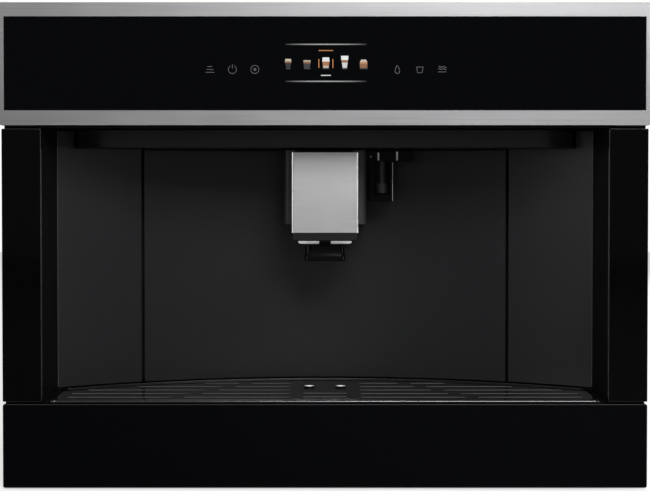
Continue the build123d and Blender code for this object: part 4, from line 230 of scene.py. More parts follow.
def tube(path, radius, normal, sides=8, closed=True, flatten=1.0):
    """A round bead along a path: each point plus the radius times cosine along the side and sine along the
    normal. The side is the path's direction crossed with the normal, and flatten scales the height along
    the normal. An open bead has a fan of triangles at each end."""
    path = np.asarray(path, float)
    normal = np.asarray(normal, float)
    if closed:
        way = np.roll(path, -1, 0) - np.roll(path, 1, 0)
    else:
        way = np.gradient(path, axis=0)
    way /= np.linalg.norm(way, axis=1, keepdims=True)
    side = np.cross(way, normal)
    angle = np.linspace(0, 2 * math.pi, sides, endpoint=False)
    round_part = np.cos(angle)[None, :, None] * side[:, None, :]
    high_part = np.sin(angle)[None, :, None] * normal[None, None, :] * flatten
    points = path[:, None, :] + radius * (round_part + high_part)
    faces = grid_faces(len(path), sides, wrap_rows=closed, wrap_columns=True)[:, ::-1]
    if closed:
        return points.reshape(-1, 3), faces
    count = len(path) * sides
    ring = np.arange(sides)
    after = (ring + 1) % sides
    last = count - sides
    middle = np.full(sides, count)
    first_cap = np.stack([middle, after, ring], 1)
    last_cap = np.stack([middle + 1, last + ring, last + after], 1)
    points = np.concatenate([points.reshape(-1, 3), points[[0, -1]].mean(1)])
    return points, (faces, np.concatenate([first_cap, last_cap]))


def round_loop(low_u, high_u, low_v, high_v, radius, per_corner=6):
    """A rectangle with round corners: each corner's centre plus the radius at evenly growing angles."""
    centres_u = np.array([high_u - radius, low_u + radius, low_u + radius, high_u - radius])
    centres_v = np.array([high_v - radius, high_v - radius, low_v + radius, low_v + radius])
    angle = np.arange(4)[:, None] * math.pi / 2 + np.linspace(0, math.pi / 2, per_corner)[None, :]
    u = centres_u[:, None] + radius * np.cos(angle)
    v = centres_v[:, None] + radius * np.sin(angle)
    return u.ravel(), v.ravel()


def dome(x, y, z, radius, height, facing, sides=24):
    """A closed dome on the plane at y: rings of the radius times the sine, and the height times the cosine,
    of a growing slope, shut by its base. It bulges towards -Y where facing is -1, and +Y where it is 1."""
    slope = np.linspace(0, math.pi / 2, 6)
    ring = np.append(radius * np.sin(slope), 0.0)[:, None]
    rise = np.append(height * np.cos(slope), 0.0)[:, None]
    turn = np.linspace(0, 2 * math.pi, sides, endpoint=False)[None, :]
    points = np.stack([x + ring * np.cos(turn), y + facing * rise + 0 * turn, z + ring * np.sin(turn)], -1)
    return points.reshape(-1, 3), grid_faces(len(ring), sides, wrap_columns=True)[:, ::facing]


def drink_shape(x, z, height, half_widths, y, rows=25, columns=9):
    """A glass seen from the side: at each height, x runs from minus to plus the half width given for it."""
    half_widths = np.asarray(half_widths, float)
    up = np.linspace(0, 1, rows)[:, None]
    half = np.interp(up, np.linspace(0, 1, len(half_widths)), half_widths)
    across = np.linspace(-1, 1, columns)[None, :]
    points = path_of(x + across * half, y, z + height * up)
    return points.reshape(-1, 3), grid_faces(rows, columns)


# ---------------------------------------------------------------- finishes
def node_tree(name):
    """A new material with its nodes, links and shader."""
    material = bpy.data.materials.new(name)
    material.use_nodes = True
    nodes = material.node_tree.nodes
    return material, nodes, material.node_tree.links, nodes["Principled BSDF"]


def set_shader(shader, values):
    """Set sockets by name; a colour gets its fourth number."""
    for key, value in values.items():
        if isinstance(value, tuple):
            value = (*value, 1.0)
        shader.inputs[key].default_value = value


def grained(name, colour, rough, spread, grain, bump, cloud_scale, tone, **values):
    """A finish of noise on Object coordinates, stretched by the grain scale: it varies the tone and the
    height, and together with an even cloud the roughness."""
    material, nodes, links, shader = node_tree(name)
    set_shader(shader, values)
    place = nodes.new("ShaderNodeTexCoord")
    mapping = nodes.new("ShaderNodeMapping")
    mapping.inputs["Scale"].default_value = grain
    links.new(place.outputs["Object"], mapping.inputs["Vector"])
    noise = nodes.new("ShaderNodeTexNoise")
    noise.inputs["Scale"].default_value = 1.0
    noise.inputs["Detail"].default_value = 6.0
    noise.inputs["Roughness"].default_value = 0.6
    links.new(mapping.outputs["Vector"], noise.inputs["Vector"])
    cloud = nodes.new("ShaderNodeTexNoise")
    cloud.inputs["Scale"].default_value = cloud_scale
    cloud.inputs["Detail"].default_value = 3.0
    links.new(place.outputs["Object"], cloud.inputs["Vector"])
    both = nodes.new("ShaderNodeMath")
    both.operation = "ADD"
    links.new(noise.outputs["Fac"], both.inputs[0])
    links.new(cloud.outputs["Fac"], both.inputs[1])
    level = nodes.new("ShaderNodeMapRange")
    level.inputs["From Min"].default_value = 0.6
    level.inputs["From Max"].default_value = 1.4
    level.inputs["To Min"].default_value = max(rough - spread, 0.02)
    level.inputs["To Max"].default_value = rough + spread
    links.new(both.outputs[0], level.inputs["Value"])
    links.new(level.outputs["Result"], shader.inputs["Roughness"])
    ramp = nodes.new("ShaderNodeValToRGB")
    low = [max(c * (1 - tone), 0) for c in colour]
    high = [min(c * (1 + tone), 1) for c in colour]
    ramp.color_ramp.elements[0].position = 0.3
    ramp.color_ramp.elements[1].position = 0.7
    ramp.color_ramp.elements[0].color = (*low, 1)
    ramp.color_ramp.elements[1].color = (*high, 1)
    links.new(noise.outputs["Fac"], ramp.inputs["Fac"])
    links.new(ramp.outputs["Color"], shader.inputs["Base Color"])
    height = nodes.new("ShaderNodeBump")
    height.inputs["Strength"].default_value = 1.0
    height.inputs["Distance"].default_value = bump
    links.new(noise.outputs["Fac"], height.inputs["Height"])
    links.new(height.outputs["Normal"], shader.inputs["Normal"])
    return material


def spangled(name, colour):
    """Zinc coated sheet: crystals about eight millimetres wide, each of its own tone and roughness."""
    material, nodes, links, shader = node_tree(name)
    set_shader(shader, {"Metallic": 0.45})
    place = nodes.new("ShaderNodeTexCoord")
    crystal = nodes.new("ShaderNodeTexVoronoi")
    crystal.inputs["Scale"].default_value = 130.0
    links.new(place.outputs["Object"], crystal.inputs["Vector"])
    streak = nodes.new("ShaderNodeTexNoise")
    streak.inputs["Scale"].default_value = 30.0
    streak.inputs["Detail"].default_value = 5.0
    links.new(place.outputs["Object"], streak.inputs["Vector"])
    grey = nodes.new("ShaderNodeSeparateColor")
    links.new(crystal.outputs["Color"], grey.inputs["Color"])
    mixed = nodes.new("ShaderNodeMath")
    mixed.operation = "MULTIPLY_ADD"
    mixed.inputs[1].default_value = 0.35
    links.new(grey.outputs["Red"], mixed.inputs[0])
    links.new(streak.outputs["Fac"], mixed.inputs[2])
    ramp = nodes.new("ShaderNodeValToRGB")
    ramp.color_ramp.elements[0].color = (*[c * 0.82 for c in colour], 1)
    ramp.color_ramp.elements[1].color = (*[min(c * 1.15, 1) for c in colour], 1)
    ramp.color_ramp.elements[0].position = 0.35
    links.new(mixed.outputs[0], ramp.inputs["Fac"])
    links.new(ramp.outputs["Color"], shader.inputs["Base Color"])
    level = nodes.new("ShaderNodeMapRange")
    level.inputs["To Min"].default_value = 0.36
    level.inputs["To Max"].default_value = 0.56
    links.new(mixed.outputs[0], level.inputs["Value"])
    links.new(level.outputs["Result"], shader.inputs["Roughness"])
    height = nodes.new("ShaderNodeBump")
    height.inputs["Distance"].default_value = 0.00004
    links.new(grey.outputs["Red"], height.inputs["Height"])
    links.new(height.outputs["Normal"], shader.inputs["Normal"])
    return material


def lit_by_attribute(name, strength):
    """Display light: the colour is the piece's own tint attribute."""
    material, nodes, links, shader = node_tree(name)
    set_shader(shader, {"Roughness": 0.4, "Emission Strength": strength})
    tone = nodes.new("ShaderNodeAttribute")
    tone.attribute_name = "tint"
    links.new(tone.outputs["Color"], shader.inputs["Emission Color"])
    links.new(tone.outputs["Color"], shader.inputs["Base Color"])
    return material


def make_finishes():
    """The finish of each material slot, and those of the pieces that are made here."""
    colours = settings("coffee_colours")
    steel = tuple(colours.steel)
    fine = (900, 900, 900)
    return {
        "brushed_steel": grained(
            "brushed steel", steel, 0.40, 0.05, (9, 9, 2600), 0.00003, 9.0, 0.10, Metallic=1.0
        ),
        "black_glass": grained(
            "black glass", tuple(colours.glass), 0.07, 0.02, (60, 60, 60), 0.0000004, 6.0, 0.1,
            **{"Specular IOR Level": 0.14},
        ),
        "spout_steel": grained(
            "satin steel cover", (0.96, 0.96, 0.97), 0.38, 0.05, (14, 14, 1800), 0.00003, 12.0, 0.06,
            Metallic=1.0,
        ),
        "niche_black": grained(
            "gloss black panel", tuple(colours.niche), 0.30, 0.04, fine, 0.000004, 7.0, 0.12,
            **{"Specular IOR Level": 0.45},
        ),
        "moulded_black": grained(
            "moulded black", tuple(colours.moulded), 0.42, 0.08, fine, 0.00002, 11.0, 0.25,
            **{"Specular IOR Level": 0.4},
        ),
        "grid_metal": grained(
            "lacquered black sheet", (0.015, 0.015, 0.0155), 0.10, 0.02, (400, 400, 400), 0.000001, 10.0, 0.2,
            **{"Coat Weight": 0.9, "Coat Roughness": 0.04, "Specular IOR Level": 0.7},
        ),
        "chrome": grained(
            "chrome", (0.78, 0.79, 0.80), 0.08, 0.03, (50, 50, 50), 0.000002, 20.0, 0.04, Metallic=1.0
        ),
        "zinc_sheet": spangled("zinc coated sheet", (0.52, 0.54, 0.55)),
        "rail_steel": grained(
            "zinc plated rail", (0.62, 0.63, 0.64), 0.32, 0.08, (500, 12, 500), 0.00001, 15.0, 0.12,
            Metallic=0.7,
        ),
        "rubber_black": grained("black rubber", (0.018, 0.018, 0.018), 0.75, 0.1, fine, 0.00005, 20.0, 0.3),
        "clear_plastic": grained(
            "clear tank plastic", (0.80, 0.88, 0.92), 0.06, 0.03, (80, 80, 80), 0.000003, 9.0, 0.03,
            **{"Transmission Weight": 0.92, "IOR": 1.49},
        ),
        "smoke_plastic": grained(
            "smoked plastic", (0.10, 0.095, 0.09), 0.08, 0.03, (80, 80, 80), 0.000003, 9.0, 0.08,
            **{"Transmission Weight": 0.85, "IOR": 1.49},
        ),
        "lamp_lens": grained(
            "frosted lens", (0.06, 0.06, 0.058), 0.4, 0.08, (300, 300, 300), 0.00002, 20.0, 0.05
        ),
        "burr_steel": grained(
            "ground steel", (0.42, 0.42, 0.43), 0.32, 0.08, (700, 700, 40), 0.00002, 18.0, 0.15, Metallic=1.0
        ),
        "motor_grey": grained(
            "grey enamel", (0.22, 0.23, 0.25), 0.42, 0.08, (300, 300, 300), 0.00002, 16.0, 0.15, Metallic=0.2
        ),
        "cast_metal": grained(
            "cast aluminium", (0.60, 0.61, 0.62), 0.48, 0.1, (500, 500, 500), 0.00008, 22.0, 0.18,
            Metallic=1.0,
        ),
        "hose_silicone": grained(
            "silicone hose", (0.72, 0.72, 0.70), 0.42, 0.08, (250, 250, 250), 0.00001, 14.0, 0.08,
            **{"Subsurface Weight": 0.15, "Subsurface Scale": 0.004},
        ),
        "board_green": grained(
            "green laminate", (0.02, 0.14, 0.06), 0.35, 0.08, (220, 220, 220), 0.00002, 30.0, 0.35
        ),
        "key_print": grained("grey print", tuple(colours.key_print), 0.5, 0.1, fine, 0.000003, 12.0, 0.1),
        # painted highlight: this grey stands in for light caught by the bevelled glass edges
        "ground_edge": grained(
            "glass edge painted highlight", (0.035, 0.036, 0.038), 0.35, 0.06, fine, 0.000004, 9.0, 0.1
        ),
        # painted highlight: this lighter grey stands in for light caught by the liners' rounded front edges
        "liner_edge": grained(
            "liner edge painted highlight", (0.055, 0.055, 0.058), 0.30, 0.05, fine, 0.000003, 9.0, 0.1
        ),
        # painted highlight: this light grey stands in for the lit far walls of the grid's slots
        "rolled_edge": grained(
            "slot edge painted highlight", (0.105, 0.105, 0.107), 0.50, 0.06, fine, 0.000002, 9.0, 0.1
        ),
        "bright_satin": grained(
            "bright satin steel", (0.95, 0.95, 0.95), 0.30, 0.03, (300, 300, 300), 0.000002, 12.0, 0.03,
            Metallic=0.35,
        ),
        # painted light: the emission makes the outlet lips and drain hole rims glow in place of the light
        # they catch; they are no lamps
        "lip_white": grained(
            "lip with painted glow", (0.92, 0.92, 0.92), 0.30, 0.03, (300, 300, 300), 0.000002, 12.0, 0.03,
            **{"Emission Color": (1.0, 1.0, 1.0), "Emission Strength": 0.28},
        ),
        "rim_satin": grained(
            "satin rim", (0.17, 0.17, 0.175), 0.17, 0.03, (12, 300, 300), 0.000002, 12.0, 0.05, Metallic=0.9
        ),
        "head_black": grained(
            "polished black", (0.003, 0.003, 0.0034), 0.20, 0.03, (200, 200, 200), 0.000001, 9.0, 0.1,
            **{"Specular IOR Level": 0.13},
        ),
        "guide_satin": grained(
            "satin black guide", (0.042, 0.042, 0.044), 0.34, 0.04, (200, 200, 12), 0.000004, 9.0, 0.25,
            **{"Specular IOR Level": 0.7},
        ),
        "column_black": grained(
            "black column glass", (0.0015, 0.0015, 0.0015), 0.07, 0.02, (60, 60, 60), 0.0000004, 6.0, 0.1,
            **{"Specular IOR Level": 0.14},
        ),
        "frame_black": grained(
            "black frame moulding", (0.0052, 0.0052, 0.0054), 0.60, 0.08, fine, 0.00002, 11.0, 0.25,
            **{"Specular IOR Level": 0.03},
        ),
        "nozzle_grey": grained(
            "grey nozzle plastic", (0.045, 0.045, 0.047), 0.38, 0.05, fine, 0.000006, 12.0, 0.12
        ),
        "lit": lit_by_attribute("lit marks", 0.9),
    }


FINISHES = {}
# solids that don't have their slot's common finish
OWN_FINISHES = {
    "spout_cover": "spout_steel",
    "spout_outlets": "bright_satin",
    "steam_nozzle": "nozzle_grey",
    "nozzle_holder": "head_black",
    "spout_guide": "guide_satin",
    "hinge_brackets": "moulded_black",
    "column_glass_left": "column_black",
    "column_glass_right": "column_black",
    "front_frame": "frame_black",
}


class COFFEE_OT_finishes(Operator):
    """Give every solid of the machine the finish of its material slot, or its own finish"""

    bl_idname = "coffee.finishes"
    bl_label = "Finishes"

    def execute(self, context):
        FINISHES.update(make_finishes())
        for name, node in NODES.items():
            if SLOTS[name] not in FINISHES:
                raise RuntimeError(f"no finish for {SLOTS[name]}")
            node.data.materials.clear()
            node.data.materials.append(FINISHES[OWN_FINISHES.get(name, SLOTS[name])])
        return {"FINISHED"}


# ---------------------------------------------------------------- display and touch keys
def tinted_piece(name, shapes, body):
    """One lit piece from (points, faces, colours) triples: colours holds one colour for each point."""
    colours = np.concatenate([np.broadcast_to(np.asarray(s[2], float), (len(s[0]), 3)) for s in shapes])
    piece = mesh_piece(name, [(shape[0], shape[1]) for shape in shapes], "lit", body)
    layer = piece.data.color_attributes.new("tint", "FLOAT_COLOR", "POINT")
    layer.data.foreach_set("color", np.concatenate([colours, np.ones((len(colours), 1))], 1).ravel())
    return piece


def layered(points, z, height, layers):
    """Colour by height: each point takes the colour of the layer that its share of the height falls into."""
    share = np.clip((points[:, 2] - z) / height, 0, 0.999)
    tops = np.array([layer[0] for layer in layers])
    tones = np.array([layer[1] for layer in layers], float)
    return tones[np.searchsorted(tops, share, side="right").clip(0, len(tones) - 1)]


class COFFEE_OT_display(Operator):
    """Draw the display's lit marks: two fading rules, a row of drinks, a pair of bars and two short marks"""

    bl_idname = "coffee.display"
    bl_label = "Display"

    def execute(self, context):
        display = settings("coffee_display")
        colours = settings("coffee_colours")
        white = np.array(colours.lit_white)
        orange = np.array(colours.lit_orange)
        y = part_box("control_glass")[0][1] - PRINT_GAP
        x0, z0 = display.middle_x, display.middle_z
        shapes = []
        for side in (-1, 1):
            across = np.linspace(-1, 1, 41)
            rise = np.full_like(across, z0 + side * display.rule_gap / 2)
            path = np.stack([x0 + across * display.rule_length / 2, rise], 1)
            points, faces = flat_stroke(path, 1.1 * MM, y)
            fade = (1 - np.tile(across, 2) ** 2) ** 1.2
            shapes.append((points, faces, fade[:, None] * white * 0.42))
        cream = np.array((0.30, 0.26, 0.22))
        coffee = np.array((0.16, 0.07, 0.03))
        dark = np.array((0.010, 0.010, 0.012))
        # height and half widths from foot to rim in millimetres, and the colour up to shares of the height
        kinds = (
            (8.2, (1.6, 2.5, 2.9, 2.6), ((0.55, dark), (0.72, coffee), (1.0, cream))),
            (7.0, (2.5, 3.0, 3.2, 3.2), ((0.62, dark * 2), (0.80, coffee), (1.0, cream * 0.8))),
            (9.6, (2.4, 2.9, 3.3, 3.0), ((0.18, cream), (0.62, coffee * 1.3), (1.0, white))),
            (11.0, (1.9, 2.5, 3.1, 3.4), ((0.45, white * 0.8), (0.66, coffee), (1.0, white))),
            (7.6, (3.2, 3.4, 3.4, 2.2), ((0.5, coffee * 0.9), (0.7, coffee * 1.6), (1.0, cream))),
            (9.0, (2.0, 2.6, 3.0, 3.0), ((0.3, coffee), (0.8, cream), (1.0, white))),
            (6.4, (2.0, 2.4, 2.6, 2.6), ((0.7, dark), (1.0, coffee))),
        )
        count = display.drink_count
        base = z0 - 4.6 * MM
        for index in range(count):
            height, halves, layers = kinds[index]
            x = x0 + (index - (count - 1) / 2) * display.drink_pitch
            points, faces = drink_shape(x, base, height * MM, np.array(halves) * MM, y)
            shapes.append((points, faces, layered(points, base, height * MM, layers)))
            reach = (halves[0] + 0.5) * MM
            foot = base - 0.7 * MM
            points, faces = flat_stroke([(x - reach, foot), (x + reach, foot)], 0.35 * MM, y)
            shapes.append((points, faces, white * 0.18))
        for side in (-1, 1):
            x = x0 + side * 6.4 * MM
            points, faces = flat_stroke([(x, base), (x, base + 8.0 * MM)], 0.8 * MM, y)
            shapes.append((points, faces, orange))
        # height from the middle and length in millimetres, and colour
        for rise, width, colour in ((11.2, 13.0, orange * 0.8), (-11.4, 9.0, white * 0.8)):
            z = z0 + rise * MM
            half = width / 2 * MM
            points, faces = flat_stroke([(x0 - half, z), (x0 + half, z)], 0.9 * MM, y)
            shapes.append((points, faces, colour))
        tinted_piece("display_marks", shapes, "machine")
        return {"FINISHED"}


class COFFEE_OT_touch_keys(Operator):
    """Print the marks of the touch keys on the control glass, three on each side of the display"""

    bl_idname = "coffee.touch_keys"
    bl_label = "Touch keys"

    def execute(self, context):
        display = settings("coffee_display")
        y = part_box("control_glass")[0][1] - PRINT_GAP
        size, line = display.key_size, display.key_stroke
        z = display.middle_z - KEY_DROP
        left, right = FIRST_KEYS
        parts = []

        def draw(path, width=line):
            parts.append(flat_stroke(path, width, y))

        # circle with a dot
        draw(ring_path(left, z, size / 2))
        draw(ring_path(left, z, size * 0.10), size * 0.16)
        # circle with a stroke that breaks its top
        x = left - display.key_pitch
        draw(ring_path(x, z, size / 2, math.radians(120), math.radians(300)))
        draw([(x, z + size * 0.1), (x, z + size * 0.62)])
        # three rows that grow
        x = left - 2 * display.key_pitch
        for row in (-1, 0, 1):
            half = size * (0.42 - 0.12 * row)
            draw([(x - half, z + row * size * 0.36), (x + half, z + row * size * 0.36)])
        # drop
        turn = np.linspace(0, 2 * math.pi, 41)
        sway = size * 0.36 * np.sin(turn) * np.sin(turn / 2)
        draw(np.stack([right + sway, z + size * 0.5 * np.cos(turn)], 1))
        # cup
        x = right + display.key_pitch
        walls = np.array([(-0.40, 0.30), (-0.28, -0.40), (0.28, -0.40), (0.40, 0.30)])
        draw(np.array([x, z]) + size * walls)
        draw([(x - size * 0.46, z + size * 0.3), (x + size * 0.46, z + size * 0.3)])
        # two waves over a line
        x = right + 2 * display.key_pitch
        across = np.linspace(-0.5, 0.5, 31)
        for row in (0.05, 0.32):
            draw(np.stack([x + across * size, z + size * (row + 0.07 * np.sin(across * 4 * math.pi))], 1))
        draw([(x - size * 0.5, z - size * 0.3), (x + size * 0.5, z - size * 0.3)])
        mesh_piece("touch_key_print", parts, "key_print", "machine")
        return {"FINISHED"}


# ---------------------------------------------------------------- fine trim
def upright_loop(low, high, inset, y, radius):
    """The outline of a box seen from the front, drawn in by the inset, as points on the plane at y."""
    u, v = round_loop(low[0] + inset, high[0] - inset, low[2] + inset, high[2] - inset, radius)
    return path_of(u, y, v)


class COFFEE_OT_glass_edges(Operator):
    """Lay a fine bead round the face of each glass plate and up the front edge of each side liner; the beads
    are rounded edges whose lighter grey is a painted highlight
    """

    bl_idname = "coffee.glass_edges"
    bl_label = "Glass edges"

    def execute(self, context):
        # piece, node, body, and corner radius in millimetres
        edges = (
            ("column_edge_left", "column_glass_left", "machine", 0.8),
            ("column_edge_right", "column_glass_right", "machine", 0.8),
            ("fascia_edge", "drawer_fascia", "drip_drawer", 1.6),
        )
        bead = settings("coffee_trim").edge_bead
        for name, node, body, corner in edges:
            low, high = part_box(node)
            path = upright_loop(low, high, bead, low[1] + bead, corner * MM)
            # the beads' grey is a painted highlight on the rounded glass edges
            mesh_piece(name, [tube(path, bead, (0, -1, 0))], "ground_edge", body)
        # the liner beads' lighter grey is a painted highlight on their rounded front edges
        liner_bead = 1.2 * bead
        for side, name in ((-1, "left"), (1, "right")):
            low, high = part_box("niche_liner_" + name)
            across = max(abs(low[0]), abs(high[0])) - liner_bead
            up = np.linspace(low[2] + 2 * bead, high[2] - 2 * bead, 24)
            path = path_of(side * across, low[1] + bead, up)
            parts = [tube(path, liner_bead, (0, 1, 0), closed=False)]
            mesh_piece("liner_edge_" + name, parts, "liner_edge", "machine")
        return {"FINISHED"}


def slot_boxes():
    """Middle, depth and length of each slot: two in each half of every row, and two in the cup pad."""
    boxes = []
    for row in range(settings("coffee_trim").slot_rows):
        depth = FIRST_ROW + row * ROW_PITCH
        rib = RIB_X - RIB_LEAN * row * ROW_PITCH
        end = min(SLOT_END, math.sqrt(SLOT_ARC**2 - (depth + ARC_CENTRE) ** 2))
        for near, far in ((PAD_HALF, rib - RIB_HALF), (rib + RIB_HALF, end)):
            for side in (-1, 1):
                boxes.append((side * (near + far) / 2, depth, far - near))
    for row in (0, 1):
        boxes.append((0.0, FIRST_ROW + row * ROW_PITCH, PAD_SLOT))
    return np.array(boxes) * MM


class COFFEE_OT_grid_rims(Operator):
    """Roll the far edges of the drip grid's slots, whose light grey is a painted highlight, line its drain
    holes with a glowing far half (painted highlight) and a black near half (painted dark reflection), and
    edge its back and front
    """

    bl_idname = "coffee.grid_rims"
    bl_label = "Grid rims"

    def execute(self, context):
        trim = settings("coffee_trim")
        low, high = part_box("drip_grid")
        up = (0, 0, 1)
        slots = []
        for x, depth, run in slot_boxes():
            top = trim.grid_top + (PAD_RISE if x == 0 else 0.0)
            across = np.linspace(x - run / 2, x + run / 2, 9)
            path = path_of(across, FRONT + depth + SLOT_WIDTH * MM / 2, top)
            slots.append(tube(path, trim.slot_bead, up, closed=False))
        # slot rims: their light grey is a painted highlight of the slots' lit far walls
        mesh_piece("slot_rims", slots, "rolled_edge", "drip_drawer")
        # drain holes: a rim and lining on the far half that glow as a painted highlight, and a black sleeve
        # on the near half, a painted dark reflection
        far_half = np.linspace(-0.10, math.pi + 0.10, 25)
        near_half = np.linspace(math.pi + 0.05, 2 * math.pi - 0.05, 25)
        rims = []
        sleeves = []
        # angles; radius, depth below the top and bead radius in millimetres; flattening; piece
        rings = (
            (far_half, 4.25, 0.80, 0.95, 1.0, rims),
            (far_half, 3.05, 1.00, 0.12, 9.0, rims),
            (near_half, 4.95, 0.85, 0.35, 2.6, sleeves),
        )
        for side in (-1, 1):
            for angle, radius, drop, bead, flatten, group in rings:
                x = side * OUTLET_X + radius * MM * np.cos(angle)
                y = FRONT + DRAIN_DEPTH + radius * MM * np.sin(angle)
                path = path_of(x, y, high[2] - drop * MM)
                group.append(tube(path, bead * MM, up, 14, closed=False, flatten=flatten))
        mesh_piece("drain_hole_painted_highlight_rims", rims, "lip_white", "drip_drawer")
        mesh_piece("drain_hole_dark_reflection_sleeves", sleeves, "head_black", "drip_drawer")
        # turned-up back edge, which follows the niche wall's arc
        across = np.linspace(low[0] + 1.0 * MM, high[0] - 1.0 * MM, 161)
        arc = FRONT - ARC_CENTRE * MM + np.sqrt((EDGE_ARC * MM) ** 2 - across**2)
        path = path_of(across, arc, trim.grid_top + 0.45 * MM)
        parts = [tube(path, 0.65 * MM, up, 10, closed=False)]
        mesh_piece("grid_back_edge", parts, "niche_black", "drip_drawer")
        # rim along the front
        across = np.linspace(low[0] + 1.2 * MM, high[0] - 1.2 * MM, 121)
        path = path_of(across, FRONT + 1.0 * MM, trim.grid_top + 0.5 * MM)
        parts = [tube(path, 0.95 * MM, up, 12, closed=False)]
        mesh_piece("tray_front_rim", parts, "rim_satin", "drip_drawer")
        return {"FINISHED"}


class COFFEE_OT_outlets(Operator):
    """Round the lips of the two outlets, which glow as a painted highlight, and dress the head under them in
    a polished shell
    """

    bl_idname = "coffee.outlets"
    bl_label = "Outlets"

    def execute(self, context):
        low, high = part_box("spout_outlets")
        bead = (high[2] - low[2]) / 2
        middle = (low[2] + high[2]) / 2
        half_depth = (high[1] - low[1]) / 2
        depth = (low[1] + high[1]) / 2
        half_width = high[0] - OUTLET_X
        lips = []
        for x in (-OUTLET_X, OUTLET_X):
            sides = (x - half_width, x + half_width, depth - half_depth, depth + half_depth)
            u, v = round_loop(*sides, 4.0 * MM)
            lips.append(tube(path_of(u, v, middle), bead, (0, 0, 1), 14, flatten=0.94))
        # the lips' finish glows: a painted highlight, not a lamp
        mesh_piece("outlet_lips", lips, "lip_white", "coffee_spout")
        # shell: loops round the head, drawn out along half a cosine wave between two shares of the height
        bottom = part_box("spout_body")[0][2] + 0.1 * MM
        top = low[2] - 0.3 * MM
        share = np.linspace(0, 1, 17)
        swell = 0.45 * MM * (1 - np.cos(math.pi * np.clip((share - 0.40) / 0.45, 0, 1)))
        loops = []
        for step, z in zip(swell, top + (bottom - top) * share):
            half_x = HEAD_HALF_WIDTH + step
            half_y = HEAD_HALF_DEPTH + step
            u, v = round_loop(-half_x, half_x, depth - half_y, depth + half_y, 5.0 * MM)
            loops.append(path_of(u, v, z))
        outer = np.stack(loops)
        inner = outer[::-1].copy()
        centre = np.array([0.0, depth])
        inner[..., :2] = centre + (inner[..., :2] - centre) * 0.992
        skin = np.concatenate([outer, inner])
        faces = grid_faces(len(skin), skin.shape[1], wrap_rows=True, wrap_columns=True)[:, ::-1]
        mesh_piece("outlet_head_shell", [(skin, faces)], "head_black", "coffee_spout")
        return {"FINISHED"}


class COFFEE_OT_nozzle_trim(Operator):
    """Add the bright clips, a thin bright bead painted as the highlight on the holder's right edge, and the
    small rivet on the nozzle's plate
    """

    bl_idname = "coffee.nozzle_trim"
    bl_label = "Nozzle trim"

    def execute(self, context):
        low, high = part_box("nozzle_holder")
        plate_y = low[1]
        clips = []
        # place across in millimetres, foot, top, and radius in millimetres
        wires = (
            (52.9, high[2] - 8.6 * MM, high[2] - 0.9 * MM, 0.95),
            (71.4, high[2] - 8.6 * MM, high[2] + 0.2 * MM, 0.95),
            # the thinnest wire is no part: a bright bead that paints the highlight on the holder's right edge
            (67.0, low[2] + 1.0 * MM, high[2] - 10.6 * MM, 0.26),
        )
        for x, start, end, radius in wires:
            path = path_of(x * MM, plate_y - 0.2 * MM, np.linspace(start, end, 12))
            clips.append(tube(path, radius * MM, (0, 1, 0), 10, closed=False))
        mesh_piece("nozzle_clips_and_edge_highlight", clips, "bright_satin", "service_door")
        rivet = dome(45.4 * MM, plate_y, high[2] - 4.6 * MM, 1.1 * MM, 0.6 * MM, -1)
        mesh_piece("nozzle_rivet", [rivet], "chrome", "service_door")
        return {"FINISHED"}


class COFFEE_OT_fasteners(Operator):
    """Dome the screw heads on the back, paint their cross recesses as black strokes (painted shade), and
    clamp the hoses on their ports
    """

    bl_idname = "coffee.fasteners"
    bl_label = "Fasteners"

    def execute(self, context):
        low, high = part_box("case_screws")
        radius = settings("coffee_trim").screw_radius
        reach = 1.9 * MM
        domes = []
        crosses = []
        for x in (low[0] + radius, high[0] - radius):
            for z in np.linspace(low[2] + radius, high[2] - radius, 3):
                domes.append(dome(x, high[1], z, radius, 0.35 * MM, 1))
                # each cross is two black strokes: painted shade for the recess of the screw's drive
                for half_x, half_z in ((reach, 0), (0, reach)):
                    stroke = [(x - half_x, z - half_z), (x + half_x, z + half_z)]
                    points, faces = flat_stroke(stroke, 0.55 * MM, high[1] + 0.37 * MM)
                    crosses.append((points, faces[:, ::-1]))
        mesh_piece("screw_domes", domes, "rail_steel", "machine")
        mesh_piece("screw_cross_painted_shade", crosses, "moulded_black", "machine")
        # hose clamps: two rings of spring wire on each port
        pump_low, pump_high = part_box("water_pump")
        boiler_low, boiler_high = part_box("boiler")
        pump_x = (pump_low[0] + pump_high[0]) / 2
        pump_z = pump_high[2] - 24.0 * MM
        boiler_z = boiler_high[2] - 23.0 * MM
        off = 3.0 * MM
        ports = (
            ((pump_x, pump_low[1] - off, pump_z), (0, -1, 0)),
            ((pump_x, pump_high[1] + off, pump_z), (0, 1, 0)),
            ((pump_x, boiler_low[1] - off, boiler_z), (0, -1, 0)),
            ((boiler_low[0] - off, boiler_high[1] - 60.0 * MM, boiler_z), (-1, 0, 0)),
        )
        clamp_radius = 3.9 * MM
        up = np.array([0.0, 0.0, 1.0])
        angle = np.linspace(0, 2 * math.pi, 32, endpoint=False)[:, None]
        clamps = []
        for place, way in ports:
            side = np.cross(up, way)
            for shift in (0.0, 2.2 * MM):
                centre = np.array(place) + np.array(way) * shift
                ring = centre + clamp_radius * (np.cos(angle) * side + np.sin(angle) * up)
                clamps.append(tube(ring, 0.45 * MM, way))
        mesh_piece("hose_clamps", clamps, "rail_steel", "machine")
        return {"FINISHED"}


# ---------------------------------------------------------------- stage
def area_lamp(name, place, target, size, power):
    data = bpy.data.lights.new(name, "AREA")
    data.shape = "RECTANGLE"
    data.size, data.size_y = size
    data.energy = power
    lamp = bpy.data.objects.new(name, data)
    lamp.location = place
    lamp.rotation_euler = (Vector(target) - Vector(place)).to_track_quat("-Z", "Y").to_euler()
    bpy.context.collection.objects.link(lamp)


